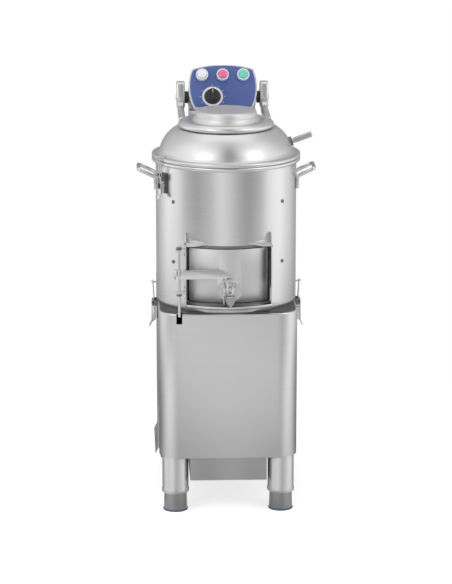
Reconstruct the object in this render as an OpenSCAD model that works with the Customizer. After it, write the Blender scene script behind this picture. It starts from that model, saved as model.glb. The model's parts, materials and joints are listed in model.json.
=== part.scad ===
// Floor-standing electric potato peeler: drum, lid, discharge door, drive and filter stand
// Millimetres, +Z up, the front faces -Y, the floor is z = 0

/* [Stand] */
// How far each side of the stand lies inside the drum
stand_side_in = 3; // [0:0.5:8]
// How far the front of the stand lies behind the drum's front
stand_front_in = 5; // [0:0.5:10]
// Corner radius of the stand shell
stand_corner = 50; // [46:1:56]
// Sheet thickness of the stand
stand_wall = 2; // [1.5:0.5:3]
// Height of the stand's lower edge above the floor
stand_low = 138; // [130:1:160]
// Height of the stand shell
stand_h = 360; // [340:5:400]
// Leg tube diameter
leg_d = 63.5; // [50:0.5:66]
// Foot diameter at the floor
foot_d = 60; // [52:1:64]
// Foot height
foot_h = 46; // [40:1:56]
// Levelling travel of a foot
foot_travel = 20; // [10:1:25]
/* [Filter] */
// Gap between the tank and the legs
tank_leg_gap = 3.5; // [2:0.5:10]
// Room in the tank behind the basket
tank_rear_room = 8; // [5:1:30]
// Tank wall
tank_wall = 1.5; // [1:0.5:2]
// Height of the tank's underside
tank_low = 78; // [70:1:90]
// Height of the tank's hanging flange
tank_flange_z = 300; // [290:1:320]
// Gap between the basket's end and the tank wall
basket_end_gap = 8; // [4:1:20]
// Basket width across its slide
basket_l = 210; // [190:2:216]
// Basket height
basket_h = 84; // [70:1:88]
// Outer radius of the waste pipe
drain_r = 25; // [20:0.5:26]
/* [Drum] */
// Outer diameter of the drum casing
drum_d = 340; // [334:1:346]
// Height of the drum casing
drum_h = 331; // [310:1:360]
// Casing sheet thickness
drum_wall = 1.5; // [1:0.5:2]
// Thickness of the abrasive liner
liner_t = 8; // [5:1:10]
// Height of the rim ring
rim_h = 9; // [6:1:12]
// How far the rim ring stands out from the casing
rim_out = 9.5; // [7:0.5:11]
// Thickness of the machine's base plate
base_t = 11; // [8:1:14]
/* [Drive] */
// Gap between the peeling plate and the liner
disc_gap = 6.2; // [4:0.2:10]
// Drive shaft diameter
shaft_d = 25; // [20:1:28]
// Bearing outside diameter
bearing_d = 52; // [47:1:56]
// Radius of the large pulley
big_pulley_r = 60; // [50:1:66]
// Radius of the motor pulley
small_pulley_r = 20; // [16:1:26]
// Pulley height
pulley_h = 20; // [14:1:24]
// Drive belt thickness
belt_t = 6; // [4:0.5:8]
// Motor body diameter
motor_d = 140; // [120:2:146]
// Motor body height
motor_h = 198; // [160:2:240]
/* [Column and controls] */
// Width of the rear column
column_w = 164; // [160:1:168]
// Depth of the rear column
column_l = 164; // [158:1:200]
// Sheet thickness of the column
column_wall = 1.5; // [1:0.5:2]
// Gap between the drum casing and the column
column_gap = 16; // [14:1:22]
// Height of the control plate
panel_h = 112; // [106:1:116]
// Widest half width of the control plate
panel_half_w = 82.5; // [80:0.5:84]
// Thickness of the control plate
panel_t = 2.5; // [2:0.5:3.5]
// Backward tilt of the control plate in degrees
panel_tilt = 30; // [26:1:32]
// Distance between the buttons
button_pitch = 51; // [46:1:52]
// Radius of a button cap
button_r = 11; // [9:0.5:11.5]
// Button travel
button_travel = 3; // [2:0.5:4]
// Radius of the timer knob
knob_r = 20; // [16:0.5:22]
// Height of the timer knob
knob_h = 22; // [18:1:26]
/* [Lid] */
// Radius of the dome's curve in section
dome_arc_r = 135; // [130:1:145]
// How far the dome stands inside the casing's radius
dome_inset = 7; // [6:0.5:9]
// Thickness of the dome
dome_wall = 1.5; // [1:0.5:2]
// Outer radius of the collar ring on the dome
collar_r = 115.6; // [112:0.2:117]
// Radius of the crown cap
crown_r = 81; // [76:1:86]
// Height of the crown cap
crown_h = 29; // [24:1:32]
// Height of the hinge axis above the lid flange
hinge_rise = 95.7; // [92:0.5:102]
// Distance of the hinge axis behind the casing
hinge_back = 65; // [64:0.5:70]
// Hinge axle diameter
axle_d = 12; // [10:0.5:14]
// Width of a lid arm
arm_w = 21; // [16:1:24]
// Radius of the hose nipple
nipple_r = 7; // [6:0.5:8]
// Length of the hose nipple
nipple_l = 50; // [40:1:52]
/* [Latch and clamps] */
// Width of a toggle base
toggle_w = 30; // [28:1:36]
// Length of the lid latch lever below its pivot
latch_lever_l = 45; // [42:1:48]
// Length of a stand clamp lever below its pivot
clamp_lever_l = 60; // [52:1:64]
// Wire diameter of the toggle loops
loop_d = 3.2; // [2.6:0.2:3.4]
// Side handle bar diameter
handle_d = 8; // [6:0.5:9]
// How far the side handles stand out from the drum
handle_out = 46.5; // [40:0.5:52]
// Length of the side handle bar
handle_l = 70; // [60:1:90]
/* [Chute and door] */
// Distance of a cheek's inner face from the discharge opening
cheek_out = 4; // [3:0.5:7]
// Thickness of the chute sheet
chute_t = 2.5; // [2:0.5:3]
// Height of the discharge opening
door_open_h = 133; // [130:1:136]
// Half width of the discharge opening
door_open_half = 97; // [96:0.5:98]
// Thickness of the door
door_t = 8; // [6:0.5:9]
// Radius of the boss on the door
boss_r = 27.5; // [24:0.5:30]
// Diameter of the door's hinge rod
rod_d = 8; // [6:0.5:9]
// Height of the door's strap
strap_h = 22; // [18:1:24]
// Drop bolt diameter
bolt_d = 4; // [3:0.5:4.5]

/* [Hidden] */
$fn = 96;

// Fits and overruns
fit = 0.05;
seat = 0.3;
over = 1;

// Drum levels and radii
drum_r = drum_d / 2;
stand_w = drum_d - 2 * stand_side_in;
stand_front = drum_r - stand_front_in;
column_front = drum_r + column_gap;
column_rear = column_front + column_l;
stand_rear = column_rear;
handle_reach = drum_r + handle_out;
stand_top = stand_low + stand_h;
top_plate_t = 3;
plate_top = stand_top + top_plate_t;
base_top = plate_top + base_t;
drum_top = base_top + drum_h;
rim_top = drum_top + rim_h;
rim_r = drum_r + rim_out;
liner_r = drum_r - drum_wall - seat;
liner_in = liner_r - liner_t;
pan_t = 3;
pan_h = 14;
pan_rim = 8;
pan_boss_r = 20;
pan_boss_h = 22;
door_low = base_top + pan_h - 2 * over;
door_top = door_low + door_open_h;

// The model is centred front to rear between the lever knob and the waste pipe
pipe_out = 45;
lever_knob_r = 11.5;
lever_front = 15;
lever_t = 3;
knob_stand = 8;
knob_y = drum_r + lever_front + knob_stand;
front_reach = knob_y + lever_knob_r;
rear_reach = stand_rear + pipe_out;
frame_y = (front_reach - rear_reach) / 2;

// Legs and feet
corner_in = stand_corner - stand_wall;
leg_r = leg_d / 2;
leg_shift = (corner_in - leg_r - seat) * sqrt(1 / 2);
leg_x = stand_w / 2 - stand_corner + leg_shift;
leg_front_y = -stand_front + stand_corner - leg_shift;
leg_rear_y = stand_rear - stand_corner + leg_shift;
leg_wall = 2;
leg_plug_h = 12;
leg_collar_h = 8;
leg_collar_out = 1.2;
foot_top_share = 0.9;
foot_ring_share = 0.22;
stem_r = 6;
stem_l = 2 * foot_travel;

// Tank and basket
basket_leg_gap = 3.5;
window_margin = 3;
basket_front_y = leg_front_y + leg_r + basket_leg_gap;
basket_mid_y = basket_front_y + basket_l / 2;
tank_half = leg_x - leg_r - tank_leg_gap;
tank_front_in = 15;
tank_front_y = tank_front_in - stand_front;
tank_rear_y = basket_front_y + basket_l + window_margin + tank_rear_room;
basket_end_x = tank_half - basket_end_gap;
tank_flange_t = 2;
drain_rise = 5;
drain_z = tank_low + drain_r + drain_rise;
drain_wall = 1.5;
basket_wall = 1.5;
runner_w = 10;
runner_h = 6;
runner_z = 157.7;
basket_z = runner_z + seat;
slot_w = 6;
slot_count = 7;
front_t = 1.5;
front_margin = 4;
front_kick = 8;
front_kick_h = 16;

// Stand top
top_flange_w = 10;
top_inset = 4;
opening_r = 138;
belt_slot_half = 64;
motor_r = motor_d / 2;
motor_flange_out = 8;
motor_flange_r = motor_r + motor_flange_out;
motor_flange_t = 10;
motor_y = (column_front + column_rear) / 2;
base_half_w = column_w / 2;

// Drive
pulley_drop = 68;
pulley_z = stand_top - pulley_drop;
bearing_wall = 9;
housing_r = bearing_d / 2 + bearing_wall;
housing_flange_w = 15;
housing_flange_r = housing_r + housing_flange_w;
housing_flange_t = 8;
pulley_clear = 5;
housing_low = pulley_z + pulley_h + pulley_clear;
bearing_r = bearing_d / 2;
bearing_h = 14;
bearing_inset = 2;
shaft_r = shaft_d / 2;
shaft_gap = 0.3;
disc_r = liner_in - disc_gap;
disc_t = 10;
hub_gap = 1;
hub_h = 5;
disc_low = base_top + pan_boss_h + hub_h + hub_gap;
hub_r = 32;
hump_r = 12;
hump_count = 3;
hump_in = 40;
cap_r = 20;
cap_h = 15;
motor_shaft_r = 9.5;
shaft_below = 5;
belt_steps = 32;
motor_shaft_up = 80;
motor_bore_gap = 2.5;
motor_bore_r = motor_shaft_r + motor_bore_gap;
spout_x = 58;
spout_y = 76;
spout_r = 22;
spout_wall = 1.5;
spout_clear = 20;
spout_low = tank_flange_z + spout_clear;

// Hinge, column and panel
hinge_y = drum_r + hinge_back;
flange_z = rim_top + seat;
flange_h = 9;
dome_z = flange_z + flange_h;
hinge_z = dome_z + hinge_rise;
axle_r = axle_d / 2;
panel_fore = 67.8;
panel_y = hinge_y - panel_fore;
panel_drop = 16.3;
panel_z = hinge_z - panel_drop;
panel_lip = 10.7;
column_top = panel_z - panel_lip;
column_flange = 12;
side_arc_r = 130;
side_arc_v_share = 0.49;
top_arc_r = 243.5;
plate_border = 2.5;
housing_wall = 2;
housing_top_y = 300;
housing_rear_drop = 53;
housing_foot_in = 12;
housing_foot_half = panel_half_w - housing_foot_in;
button_drop = 27;
button_v = panel_h - button_drop;
button_rest = 1.5;
button_sink = 8;
bezel_w = 4.5;
bezel_r = button_r + bezel_w;
bezel_bore = button_r + shaft_gap;
bezel_tube_wall = 1.5;
bezel_tube_r = bezel_bore + bezel_tube_wall;
bezel_h = 9;
button_proud = bezel_h + button_travel + button_rest;
bezel_sink = 14;
knob_u = -26;
knob_v = 29;
knob_gap = 0.4;
knob_skirt_h = 6;
knob_skirt_w = 2;
knob_body_r = knob_r - knob_skirt_w;
grip_w = 8;
grip_drop = 9;
knob_shaft_r = 3;
timer_size = 44;
timer_depth = 34;
rear_cover_t = 1.5;
louvre_count = 8;
louvre_w = 90;
louvre_h = 5;
louvre_pitch = 14;
louvre_drop = 150;
louvre_z = column_top - louvre_drop;
gland_rise = 50;
gland_z = base_top + gland_rise;
gland_x = 45;
gland_r = 11;
gland_l = 20;
gland_bore = 4.5;
gland_nut_h = 6;

// Lid
dome_r = drum_r - dome_inset;
dome_drop = 42;
dome_c_r = dome_r - sqrt(dome_arc_r * dome_arc_r - dome_drop * dome_drop);
shelf_rise = 60.5;
shelf_z = dome_z + shelf_rise;
shelf_in = 14;
shelf_hole_r = crown_r - shelf_in;
collar_rise = 18.5;
collar_arc_r = 16;
collar_wall = 3;
collar_deck = 2;
deck_drop = 3.7;
crown_flare = 3;
crown_edge = 5;
crown_wall = 2;
crown_dish = 1;
arm_gap = 11.5;
arm_x = base_half_w + arm_gap;
eye_r = 22;
arm_drop = 4;
arm_low = shelf_z - arm_drop;
arm_h = 20;
arm_tip_y = 44;
bush_r = 15;
bush_gap = 0.3;
axle_end = 2;
inlet_rise = 23;
inlet_z = dome_z + inlet_rise;
inlet_in = 8.5;
inlet_x = dome_r - inlet_in;
inlet_tilt = 19.5;
nut_r = 12;
nut_h = 6;
nipple_bore = 4.5;
inlet_inside = 14;

// Toggles, in a local frame: x outwards, y along the surface
plate_gap = 0.2;
toggle_plate_t = 2;
pivot_out = 11;
link_out = 8.5;
link_down = 14;
ear_out = 15;
ear_y = 10;
ear_t = 2;
ear_half = 8;
lever_y = 7.5;
lever_side_t = 2;
lever_in = 4.5;
lever_out = 15.5;
lever_up = 4;
web_from = 27;
web_t = 2;
stub_r = 2.5;
link_r = 2;
loop_y = 4.6;
kick = 6;
kick_h = 12;
catch_t = 3;
catch_lip = 2;
catch_lip_h = 5;
catch_half = 2.6;
loop_r = loop_d / 2;
bar_gap = 0.5;
latch_angle = 208;
latch_pivot_drop = 28;
latch_pivot_z = drum_top - latch_pivot_drop;
latch_bar_out = 15.2;
latch_bar_r = drum_r + latch_bar_out;
latch_bar_z = dome_z + catch_t + loop_r + bar_gap;
clamp_pivot_drop = 8;
clamp_pivot_z = stand_top - clamp_pivot_drop;
clamp_surface = stand_w / 2;
clamp_bar_out = 8.5;
clamp_bar_r = drum_r + clamp_bar_out;
clamp_shelf_rise = 26;
clamp_shelf_z = base_top + clamp_shelf_rise;
clamp_bar_z = clamp_shelf_z + catch_t + loop_r + bar_gap;
latch_tilt = atan((latch_bar_r - drum_r - link_out) / (latch_bar_z - latch_pivot_z + link_down));
clamp_tilt = atan((clamp_bar_r - clamp_surface - link_out) / (clamp_bar_z - clamp_pivot_z + link_down));

// Side handles
handle_r = handle_d / 2;
knuckle = 0.4;
handle_foot_h = 29;
handle_drop = 66;
handle_z = drum_top - handle_drop;
handle_rise = 20;
finger_end_x = handle_reach - handle_r - knuckle;

// Screws that hold the liner
screw_angles = [-50, 50, 130, 230];
screw_rise = 102;
screw_low = base_top + screw_rise;
screw_drop = 83;
screw_high = drum_top - screw_drop;
screw_r = 2.5;
screw_head_r = 4.5;
screw_head_h = 2.5;
screw_tip = 4;

// Chute and door
cheek_front = stand_front;
cheek_x = door_open_half + cheek_out;
tray_half = cheek_x + chute_t;
cheek_rise = 34;
cheek_top = door_top + cheek_rise;
cheek_bend_drop = 17;
cheek_bend_z = door_top - cheek_bend_drop;
cheek_tip_back = 24;
cheek_sink = 10;
cheek_root_y = sqrt(drum_r * drum_r - tray_half * tray_half) - cheek_sink;
cheek_base = 8;
cheek_low = base_top + cheek_base;
tray_t = 5;
tray_sag = 34;
tray_arc_r = (tray_half * tray_half + tray_sag * tray_sag) / (2 * tray_sag);
tray_tip = cheek_front + tray_sag;
lintel_h = 18;
lintel_in = 4;
lintel_front = stand_front - lintel_in;
lintel_t = 11;
lintel_drop = 1;
lintel_z = door_top - lintel_drop;
rod_out = 14.5;
rod_x = cheek_x + chute_t + rod_out;
rod_fore = 2;
rod_y = cheek_front + rod_fore;
rod_r = rod_d / 2;
rod_below = 7;
rod_low = stand_top - rod_below;
rod_above = 10;
rod_top = door_top + rod_above;
lug_r = 9;
lug_t = 4;
lug_back = 18;
lug_rise = 25;
lug_low = door_low + lug_rise;
lug_drop = 5;
lug_high = door_top - lug_drop;
rod_nut_r = 7;
rod_nut_h = 6;
notch_half = 7;
notch_deep = 25;
notch_in = 10;
door_r = drum_r - drum_wall - seat;
door_side_gap = 3;
door_half = door_open_half - door_side_gap;
door_gap = 2;
boss_x = 3;
boss_rise = 33;
boss_z = door_low + boss_rise;
boss_proud = 10;
boss_out = drum_r + boss_proud;
boss_core_t = 12;
strap_proud = 5;
strap_front = drum_r + strap_proud;
strap_t = 5;
strap_rise = 72;
strap_z = door_low + strap_rise;
strap_bend_x = 18;
eye_wall = 7;
lever_w = 18;
lever_top = 27;
lever_y_in = drum_r + lever_front - lever_t;
lever_face = drum_r + lever_front;
slot_stud_r = 2.5;
slot_stud_at = [5, 17];
stud_head_r = 4.5;
stud_head_h = 2.5;
bolt_lift = 9;
bolt_x = 15;
bolt_r = bolt_d / 2;
guide_wall = 2.5;
guide_r = bolt_r + guide_wall;
guide_t = 4;
guide_drop = 9;
bolt_y = boss_out + guide_r + seat;
bolt_rise = 26;
bolt_top = boss_z + bolt_rise;
bolt_clear = 2;
bolt_low = base_top + bolt_clear;
bolt_sleeve_at = 3;
bolt_sleeve_h = 6;
bolt_collar_w = 2;
bolt_collar_h = 3;
knob_drop = 33;
knob_low = boss_z - knob_drop;
knob_tall = 20;
knob_taper_share = 0.8;
stud_r = 2.5;
peg_r = 1.5;
peg_moving = [-5, 24];
peg_fixed = [13, 10];
spring_r = 3;
wire_d = 1;
spring_y = lever_face + stud_head_h + spring_r + wire_d;
peg_out = spring_y + peg_r;
spring_curls = 8;
rings_per_curl = 8;
wire_sides = 6;

// Puts a piece in the centred frame
module framed() {
    translate([0, frame_y, 0])
        children();
}

// Outline of the stand grown inwards by an inset
module stand_outline(inset) {
    r = stand_corner - inset;
    half = stand_w / 2 - stand_corner;
    front = stand_front - stand_corner;
    rear = stand_rear - stand_corner;
    for (x = [-half, half])
        for (y = [-front, rear])
            translate([x, y])
                circle(r);
    translate([-half - r, -front])
        square([2 * (half + r), front + rear]);
    translate([-half, -front - r])
        square([2 * half, front + rear + 2 * r]);
}

// A box from one corner to the other
module span(low, high) {
    translate(low)
        cube(high - low);
}

module tube(outer, inner, h) {
    difference() {
        cylinder(r = outer, h = h);
        translate([0, 0, -over])
            cylinder(r = inner, h = h + 2 * over);
    }
}

// Stand

module stand_shell() {
    window_low = [-stand_w / 2 - over, basket_mid_y - basket_l / 2 - window_margin, runner_z - runner_h];
    window_high = [-stand_w / 2 + stand_wall + over, basket_mid_y + basket_l / 2 + window_margin,
        basket_z + basket_h + window_margin];
    color([0.75, 0.75, 0.75]) framed() difference() {
        union() {
            translate([0, 0, stand_low]) linear_extrude(stand_h) difference() {
                stand_outline(0);
                stand_outline(stand_wall);
            }
            translate([0, 0, stand_top - stand_wall]) linear_extrude(stand_wall) difference() {
                stand_outline(0);
                stand_outline(top_flange_w);
            }
        }
        span(window_low, window_high);
        span([-rod_x - notch_half, -stand_front - over, stand_top - notch_deep],
            [-rod_x + notch_half, -stand_front + notch_in, stand_top + over]);
    }
}

module stand_top_plate() {
    color([0.3, 0.31, 0.32]) framed() translate([0, 0, stand_top]) linear_extrude(top_plate_t) difference() {
        stand_outline(top_inset);
        circle(opening_r);
        translate([-belt_slot_half, 0])
            square([2 * belt_slot_half, motor_y + belt_slot_half]);
        translate([-rod_x - notch_half, -stand_front])
            square([2 * notch_half, notch_in]);
    }
}

module leg() {
    top = tank_flange_z - tank_flange_t;
    difference() {
        union() {
            translate([0, 0, foot_h])
                cylinder(r = leg_r, h = top - foot_h);
            translate([0, 0, foot_h])
                cylinder(r = leg_r + leg_collar_out, h = leg_collar_h);
        }
        translate([0, 0, foot_h + leg_plug_h])
            cylinder(r = leg_r - leg_wall, h = top);
        translate([0, 0, foot_h - over])
            cylinder(r = stem_r + fit, h = leg_plug_h + 2 * over);
    }
}

module legs() {
    color([0.72, 0.72, 0.72]) framed()
        for (x = [-leg_x, leg_x])
            for (y = [leg_front_y, leg_rear_y])
                translate([x, y, 0])
                    leg();
}

module foot(x, y) {
    r = foot_d / 2;
    color([0.45, 0.48, 0.55]) framed() translate([x, y, 0]) {
        cylinder(r = r, h = foot_h * foot_ring_share);
        translate([0, 0, foot_h * foot_ring_share])
            cylinder(r1 = r * (1 + foot_top_share) / 2, r2 = r * foot_top_share, h = foot_h * (1 - foot_ring_share));
        translate([0, 0, foot_h * foot_ring_share])
            cylinder(r = stem_r, h = foot_h * (1 - foot_ring_share) + stem_l);
    }
}

module foot_front_left() {
    foot(-leg_x, leg_front_y);
}

module foot_front_right() {
    foot(leg_x, leg_front_y);
}

module foot_rear_left() {
    foot(-leg_x, leg_rear_y);
}

module foot_rear_right() {
    foot(leg_x, leg_rear_y);
}

// Filter

module filter_tank() {
    half = tank_half;
    in_half = half - tank_wall;
    window_half = basket_l / 2 + window_margin;
    color([0.35, 0.36, 0.37]) framed() {
        difference() {
            union() {
                span([-half, tank_front_y, tank_low], [half, tank_rear_y, tank_flange_z]);
                translate([0, 0, tank_flange_z - tank_flange_t]) linear_extrude(tank_flange_t)
                    stand_outline(stand_wall + seat);
                translate([0, tank_rear_y - tank_wall, drain_z]) rotate([-90, 0, 0])
                    cylinder(r = drain_r, h = rear_reach - tank_rear_y + tank_wall);
            }
            span([-in_half, tank_front_y + tank_wall, tank_low + tank_wall],
                [in_half, tank_rear_y - tank_wall, tank_flange_z + over]);
            translate([0, tank_rear_y - tank_wall - over, drain_z]) rotate([-90, 0, 0])
                cylinder(r = drain_r - drain_wall, h = rear_reach - tank_rear_y + tank_wall + 2 * over);
            span([-half - over, basket_mid_y - window_half, runner_z - runner_h],
                [-in_half + over, basket_mid_y + window_half, basket_z + basket_h + window_margin]);
        }
        for (side = [-1, 1]) {
            y = basket_mid_y + side * (basket_l - runner_w) / 2;
            span([-in_half, y - runner_w / 2, runner_z - runner_h], [half - tank_wall / 2, y + runner_w / 2, runner_z]);
        }
        for (side = [-1, 1]) {
            y = basket_mid_y + side * (basket_l - runner_w) / 2;
            span([-half, y - runner_w / 2, runner_z - 2 * runner_h],
                [-in_half + runner_h, y + runner_w / 2, runner_z - runner_h]);
            span([-in_half, y - runner_w / 2, runner_z - 2 * runner_h],
                [-in_half + runner_h, y + runner_w / 2, runner_z]);
        }
    }
}

module filter_basket() {
    left = -stand_w / 2 - seat;
    right = basket_end_x;
    front = basket_mid_y - basket_l / 2;
    rear = basket_mid_y + basket_l / 2;
    pitch = (basket_l - 2 * runner_w) / slot_count;
    color([0.6, 0.61, 0.62]) framed() difference() {
        span([left, front, basket_z], [right, rear, basket_z + basket_h]);
        span([left + basket_wall, front + basket_wall, basket_z + basket_wall],
            [right - basket_wall, rear - basket_wall, basket_z + basket_h + over]);
        for (i = [0:slot_count - 1]) {
            y = front + runner_w + (i + 1 / 2) * pitch - slot_w / 2;
            span([-right + runner_w, y, basket_z - over], [right - runner_w, y + slot_w, basket_z + basket_wall + over]);
        }
    }
}

module drawer_front() {
    left = -stand_w / 2 - seat;
    front = basket_mid_y - basket_l / 2 - window_margin - front_margin;
    rear = basket_mid_y + basket_l / 2 + window_margin + front_margin;
    low = basket_z - runner_h - front_margin;
    top = basket_z + basket_h + window_margin + front_margin;
    color([0.72, 0.72, 0.72]) framed() {
        span([left - front_t, front, low], [left, rear, top]);
        translate([0, rear, 0]) rotate([90, 0, 0]) linear_extrude(rear - front)
            polygon([[left - front_t, low], [left, low], [left - front_kick, low - front_kick_h],
                [left - front_kick - front_t, low - front_kick_h]]);
    }
}

// Toggles: the local frame has its pivot line along y, at a height of 0

module toggle_frame(angle, surface, pivot_z) {
    framed() rotate([0, 0, angle]) translate([surface, 0, pivot_z])
        children();
}

module cross_pin(x, z, r, from, to) {
    translate([x, from, z]) rotate([-90, 0, 0])
        cylinder(r = r, h = to - from);
}

module toggle_base(l) {
    difference() {
        union() {
            span([plate_gap, -toggle_w / 2, -l], [plate_gap + toggle_plate_t, toggle_w / 2, ear_half + ear_t]);
            for (y = [-ear_y - ear_t, ear_y])
                span([plate_gap, y, -ear_half], [ear_out, y + ear_t, ear_half]);
        }
        cross_pin(pivot_out, 0, stub_r + fit, -toggle_w, toggle_w);
    }
}

module toggle_lever(l) {
    for (side = [0, 1]) mirror([0, side, 0]) {
        difference() {
            span([lever_in, lever_y, -l], [lever_out, lever_y + lever_side_t, lever_up]);
            cross_pin(link_out, -link_down, link_r + fit, 0, toggle_w);
        }
        cross_pin(pivot_out, 0, stub_r, lever_y, ear_y + ear_t);
    }
    span([lever_out - web_t, -lever_y, -l], [lever_out, lever_y, -web_from]);
    translate([0, lever_y + lever_side_t, 0]) rotate([90, 0, 0]) linear_extrude(2 * (lever_y + lever_side_t))
        polygon([[lever_out - web_t, -l], [lever_out, -l], [lever_out + kick, -l - kick_h],
            [lever_out + kick - web_t, -l - kick_h]]);
}

module toggle_loop(length, tilt) {
    translate([link_out, 0, -link_down]) rotate([0, tilt, 0]) {
        for (y = [-loop_y, loop_y]) {
            translate([0, y, 0])
                cylinder(r = loop_r, h = length);
            translate([0, y, length])
                sphere(loop_r);
        }
        translate([0, 0, length])
            cross_pin(0, 0, loop_r, -loop_y, loop_y);
    }
    cross_pin(link_out, -link_down, link_r, -lever_y - lever_side_t, lever_y + lever_side_t);
}

// A shelf with a lip that a toggle loop pulls down on
module catch_hook(from, bar, z) {
    lip = bar + loop_r + bar_gap;
    span([from, -catch_half, z], [lip + catch_lip, catch_half, z + catch_t]);
    span([lip, -catch_half, z], [lip + catch_lip, catch_half, z + catch_lip_h]);
}

clamp_loop_l = (clamp_bar_z - clamp_pivot_z + link_down) / cos(clamp_tilt);
latch_loop_l = (latch_bar_z - latch_pivot_z + link_down) / cos(latch_tilt);

module clamp_bases() {
    color([0.25, 0.25, 0.27])
        for (angle = [0, 180])
            toggle_frame(angle, clamp_surface, clamp_pivot_z)
                toggle_base(clamp_pivot_z - stand_top + clamp_lever_l - kick_h);
}

module clamp_lever_left() {
    color([0.78, 0.78, 0.78]) toggle_frame(180, clamp_surface, clamp_pivot_z)
        toggle_lever(clamp_lever_l - kick_h);
}

module clamp_lever_right() {
    color([0.78, 0.78, 0.78]) toggle_frame(0, clamp_surface, clamp_pivot_z)
        toggle_lever(clamp_lever_l - kick_h);
}

module clamp_loop_left() {
    color([0.7, 0.7, 0.7]) toggle_frame(180, clamp_surface, clamp_pivot_z)
        toggle_loop(clamp_loop_l, clamp_tilt);
}

module clamp_loop_right() {
    color([0.7, 0.7, 0.7]) toggle_frame(0, clamp_surface, clamp_pivot_z)
        toggle_loop(clamp_loop_l, clamp_tilt);
}

module latch_base() {
    color([0.2, 0.2, 0.21]) toggle_frame(latch_angle, drum_r, latch_pivot_z)
        toggle_base(latch_lever_l - kick_h);
}

module latch_lever() {
    color([0.8, 0.8, 0.8]) toggle_frame(latch_angle, drum_r, latch_pivot_z)
        toggle_lever(latch_lever_l - kick_h);
}

module latch_loop() {
    color([0.8, 0.8, 0.8]) toggle_frame(latch_angle, drum_r, latch_pivot_z)
        toggle_loop(latch_loop_l, latch_tilt);
}

// Drum

module base_outline() {
    circle(drum_r);
    translate([-base_half_w, 0])
        square([2 * base_half_w, column_rear]);
}

module base_plate() {
    color([0.6, 0.6, 0.62]) framed() translate([0, 0, plate_top]) linear_extrude(base_t) difference() {
        base_outline();
        circle(housing_r + fit);
        translate([-spout_x, -spout_y])
            circle(spout_r + seat);
        translate([0, motor_y])
            circle(motor_bore_r);
    }
}

module door_cut(half) {
    span([-half, -drum_d, door_low], [half, -drum_r / 2, door_top]);
}

module screw_places(z_list) {
    for (angle = screw_angles)
        for (z = z_list)
            translate([0, 0, z]) rotate([0, 0, angle - 90]) rotate([0, 90, 0])
                children();
}

module drum_casing() {
    color([0.78, 0.78, 0.78]) framed() {
        difference() {
            translate([0, 0, base_top])
                tube(drum_r, drum_r - drum_wall, drum_h);
            door_cut(door_open_half);
            screw_places([screw_low, screw_high])
                cylinder(r = screw_r + shaft_gap, h = drum_d);
        }
        for (angle = [0, 180]) rotate([0, 0, angle])
            catch_hook(drum_r - drum_wall / 2, clamp_bar_r, clamp_shelf_z);
    }
}

module drum_pan() {
    color([0.55, 0.56, 0.57]) framed() difference() {
        union() {
            translate([0, 0, base_top]) difference() {
                cylinder(r = liner_r, h = pan_h);
                translate([0, 0, pan_t])
                    cylinder(r = liner_in, h = pan_h);
            }
            translate([0, 0, base_top])
                cylinder(r = pan_boss_r, h = pan_boss_h);
            translate([-spout_x, -spout_y, spout_low])
                cylinder(r = spout_r, h = base_top - spout_low);
        }
        translate([0, 0, base_top - over])
            cylinder(r = shaft_r + shaft_gap, h = pan_boss_h + 2 * over);
        translate([-spout_x, -spout_y, spout_low - over])
            cylinder(r = spout_r - spout_wall, h = base_top - spout_low + pan_t + 2 * over);
        door_cut(door_open_half);
    }
}

module rim_ring() {
    color([0.8, 0.8, 0.8]) framed() translate([0, 0, drum_top])
        tube(rim_r, drum_r - pan_rim, rim_h);
}

module abrasive_liner() {
    color([0.4, 0.38, 0.36]) framed() difference() {
        translate([0, 0, base_top + pan_h])
            tube(liner_r, liner_in, drum_h - pan_h - seat);
        door_cut(door_open_half);
        screw_places([screw_low, screw_high])
            cylinder(r = screw_r + shaft_gap, h = drum_d);
    }
}

module liner_screws() {
    color([0.3, 0.3, 0.3]) framed() screw_places([screw_low, screw_high]) {
        translate([0, 0, liner_in + screw_tip])
            cylinder(r = screw_r, h = drum_r - liner_in - screw_tip + screw_head_h);
        translate([0, 0, drum_r + plate_gap])
            cylinder(r = screw_head_r, h = screw_head_h);
    }
}

// Drive

module bearing_housing() {
    color([0.5, 0.5, 0.52]) framed() difference() {
        union() {
            translate([0, 0, housing_low])
                cylinder(r = housing_r, h = base_top - housing_low);
            translate([0, 0, plate_top - housing_flange_t])
                cylinder(r = housing_flange_r, h = housing_flange_t);
        }
        translate([0, 0, housing_low - over])
            cylinder(r = bearing_r + fit, h = base_top - housing_low + 2 * over);
    }
}

module shaft_bearings() {
    color([0.75, 0.75, 0.78]) framed()
        for (z = [housing_low + bearing_inset, base_top - bearing_inset - bearing_h])
            translate([0, 0, z])
                tube(bearing_r, shaft_r + fit, bearing_h);
}

module drive_shaft() {
    color([0.7, 0.7, 0.72]) framed() translate([0, 0, pulley_z - shaft_below])
        cylinder(r = shaft_r, h = disc_low + disc_t - pulley_z + shaft_below);
}

module peeling_plate() {
    color([0.45, 0.44, 0.42]) framed() translate([0, 0, disc_low]) difference() {
        union() {
            cylinder(r = disc_r, h = disc_t);
            translate([0, 0, -hub_h])
                cylinder(r = hub_r, h = hub_h);
            translate([0, 0, disc_t])
                cylinder(r1 = cap_r, r2 = cap_r / 2, h = cap_h);
            intersection() {
                for (i = [0:hump_count - 1]) rotate([0, 0, i * 360 / hump_count])
                    translate([hump_in, 0, disc_t]) rotate([0, 90, 0])
                        cylinder(r = hump_r, h = disc_r - hump_r - hump_in);
                cylinder(r = disc_r, h = disc_t + hump_r);
            }
        }
        translate([0, 0, -hub_h - over])
            cylinder(r = shaft_r + fit, h = disc_t + hub_h + over + fit);
    }
}

module driven_pulley() {
    color([0.35, 0.35, 0.37]) framed() translate([0, 0, pulley_z])
        tube(big_pulley_r, shaft_r + fit, pulley_h);
}

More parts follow.
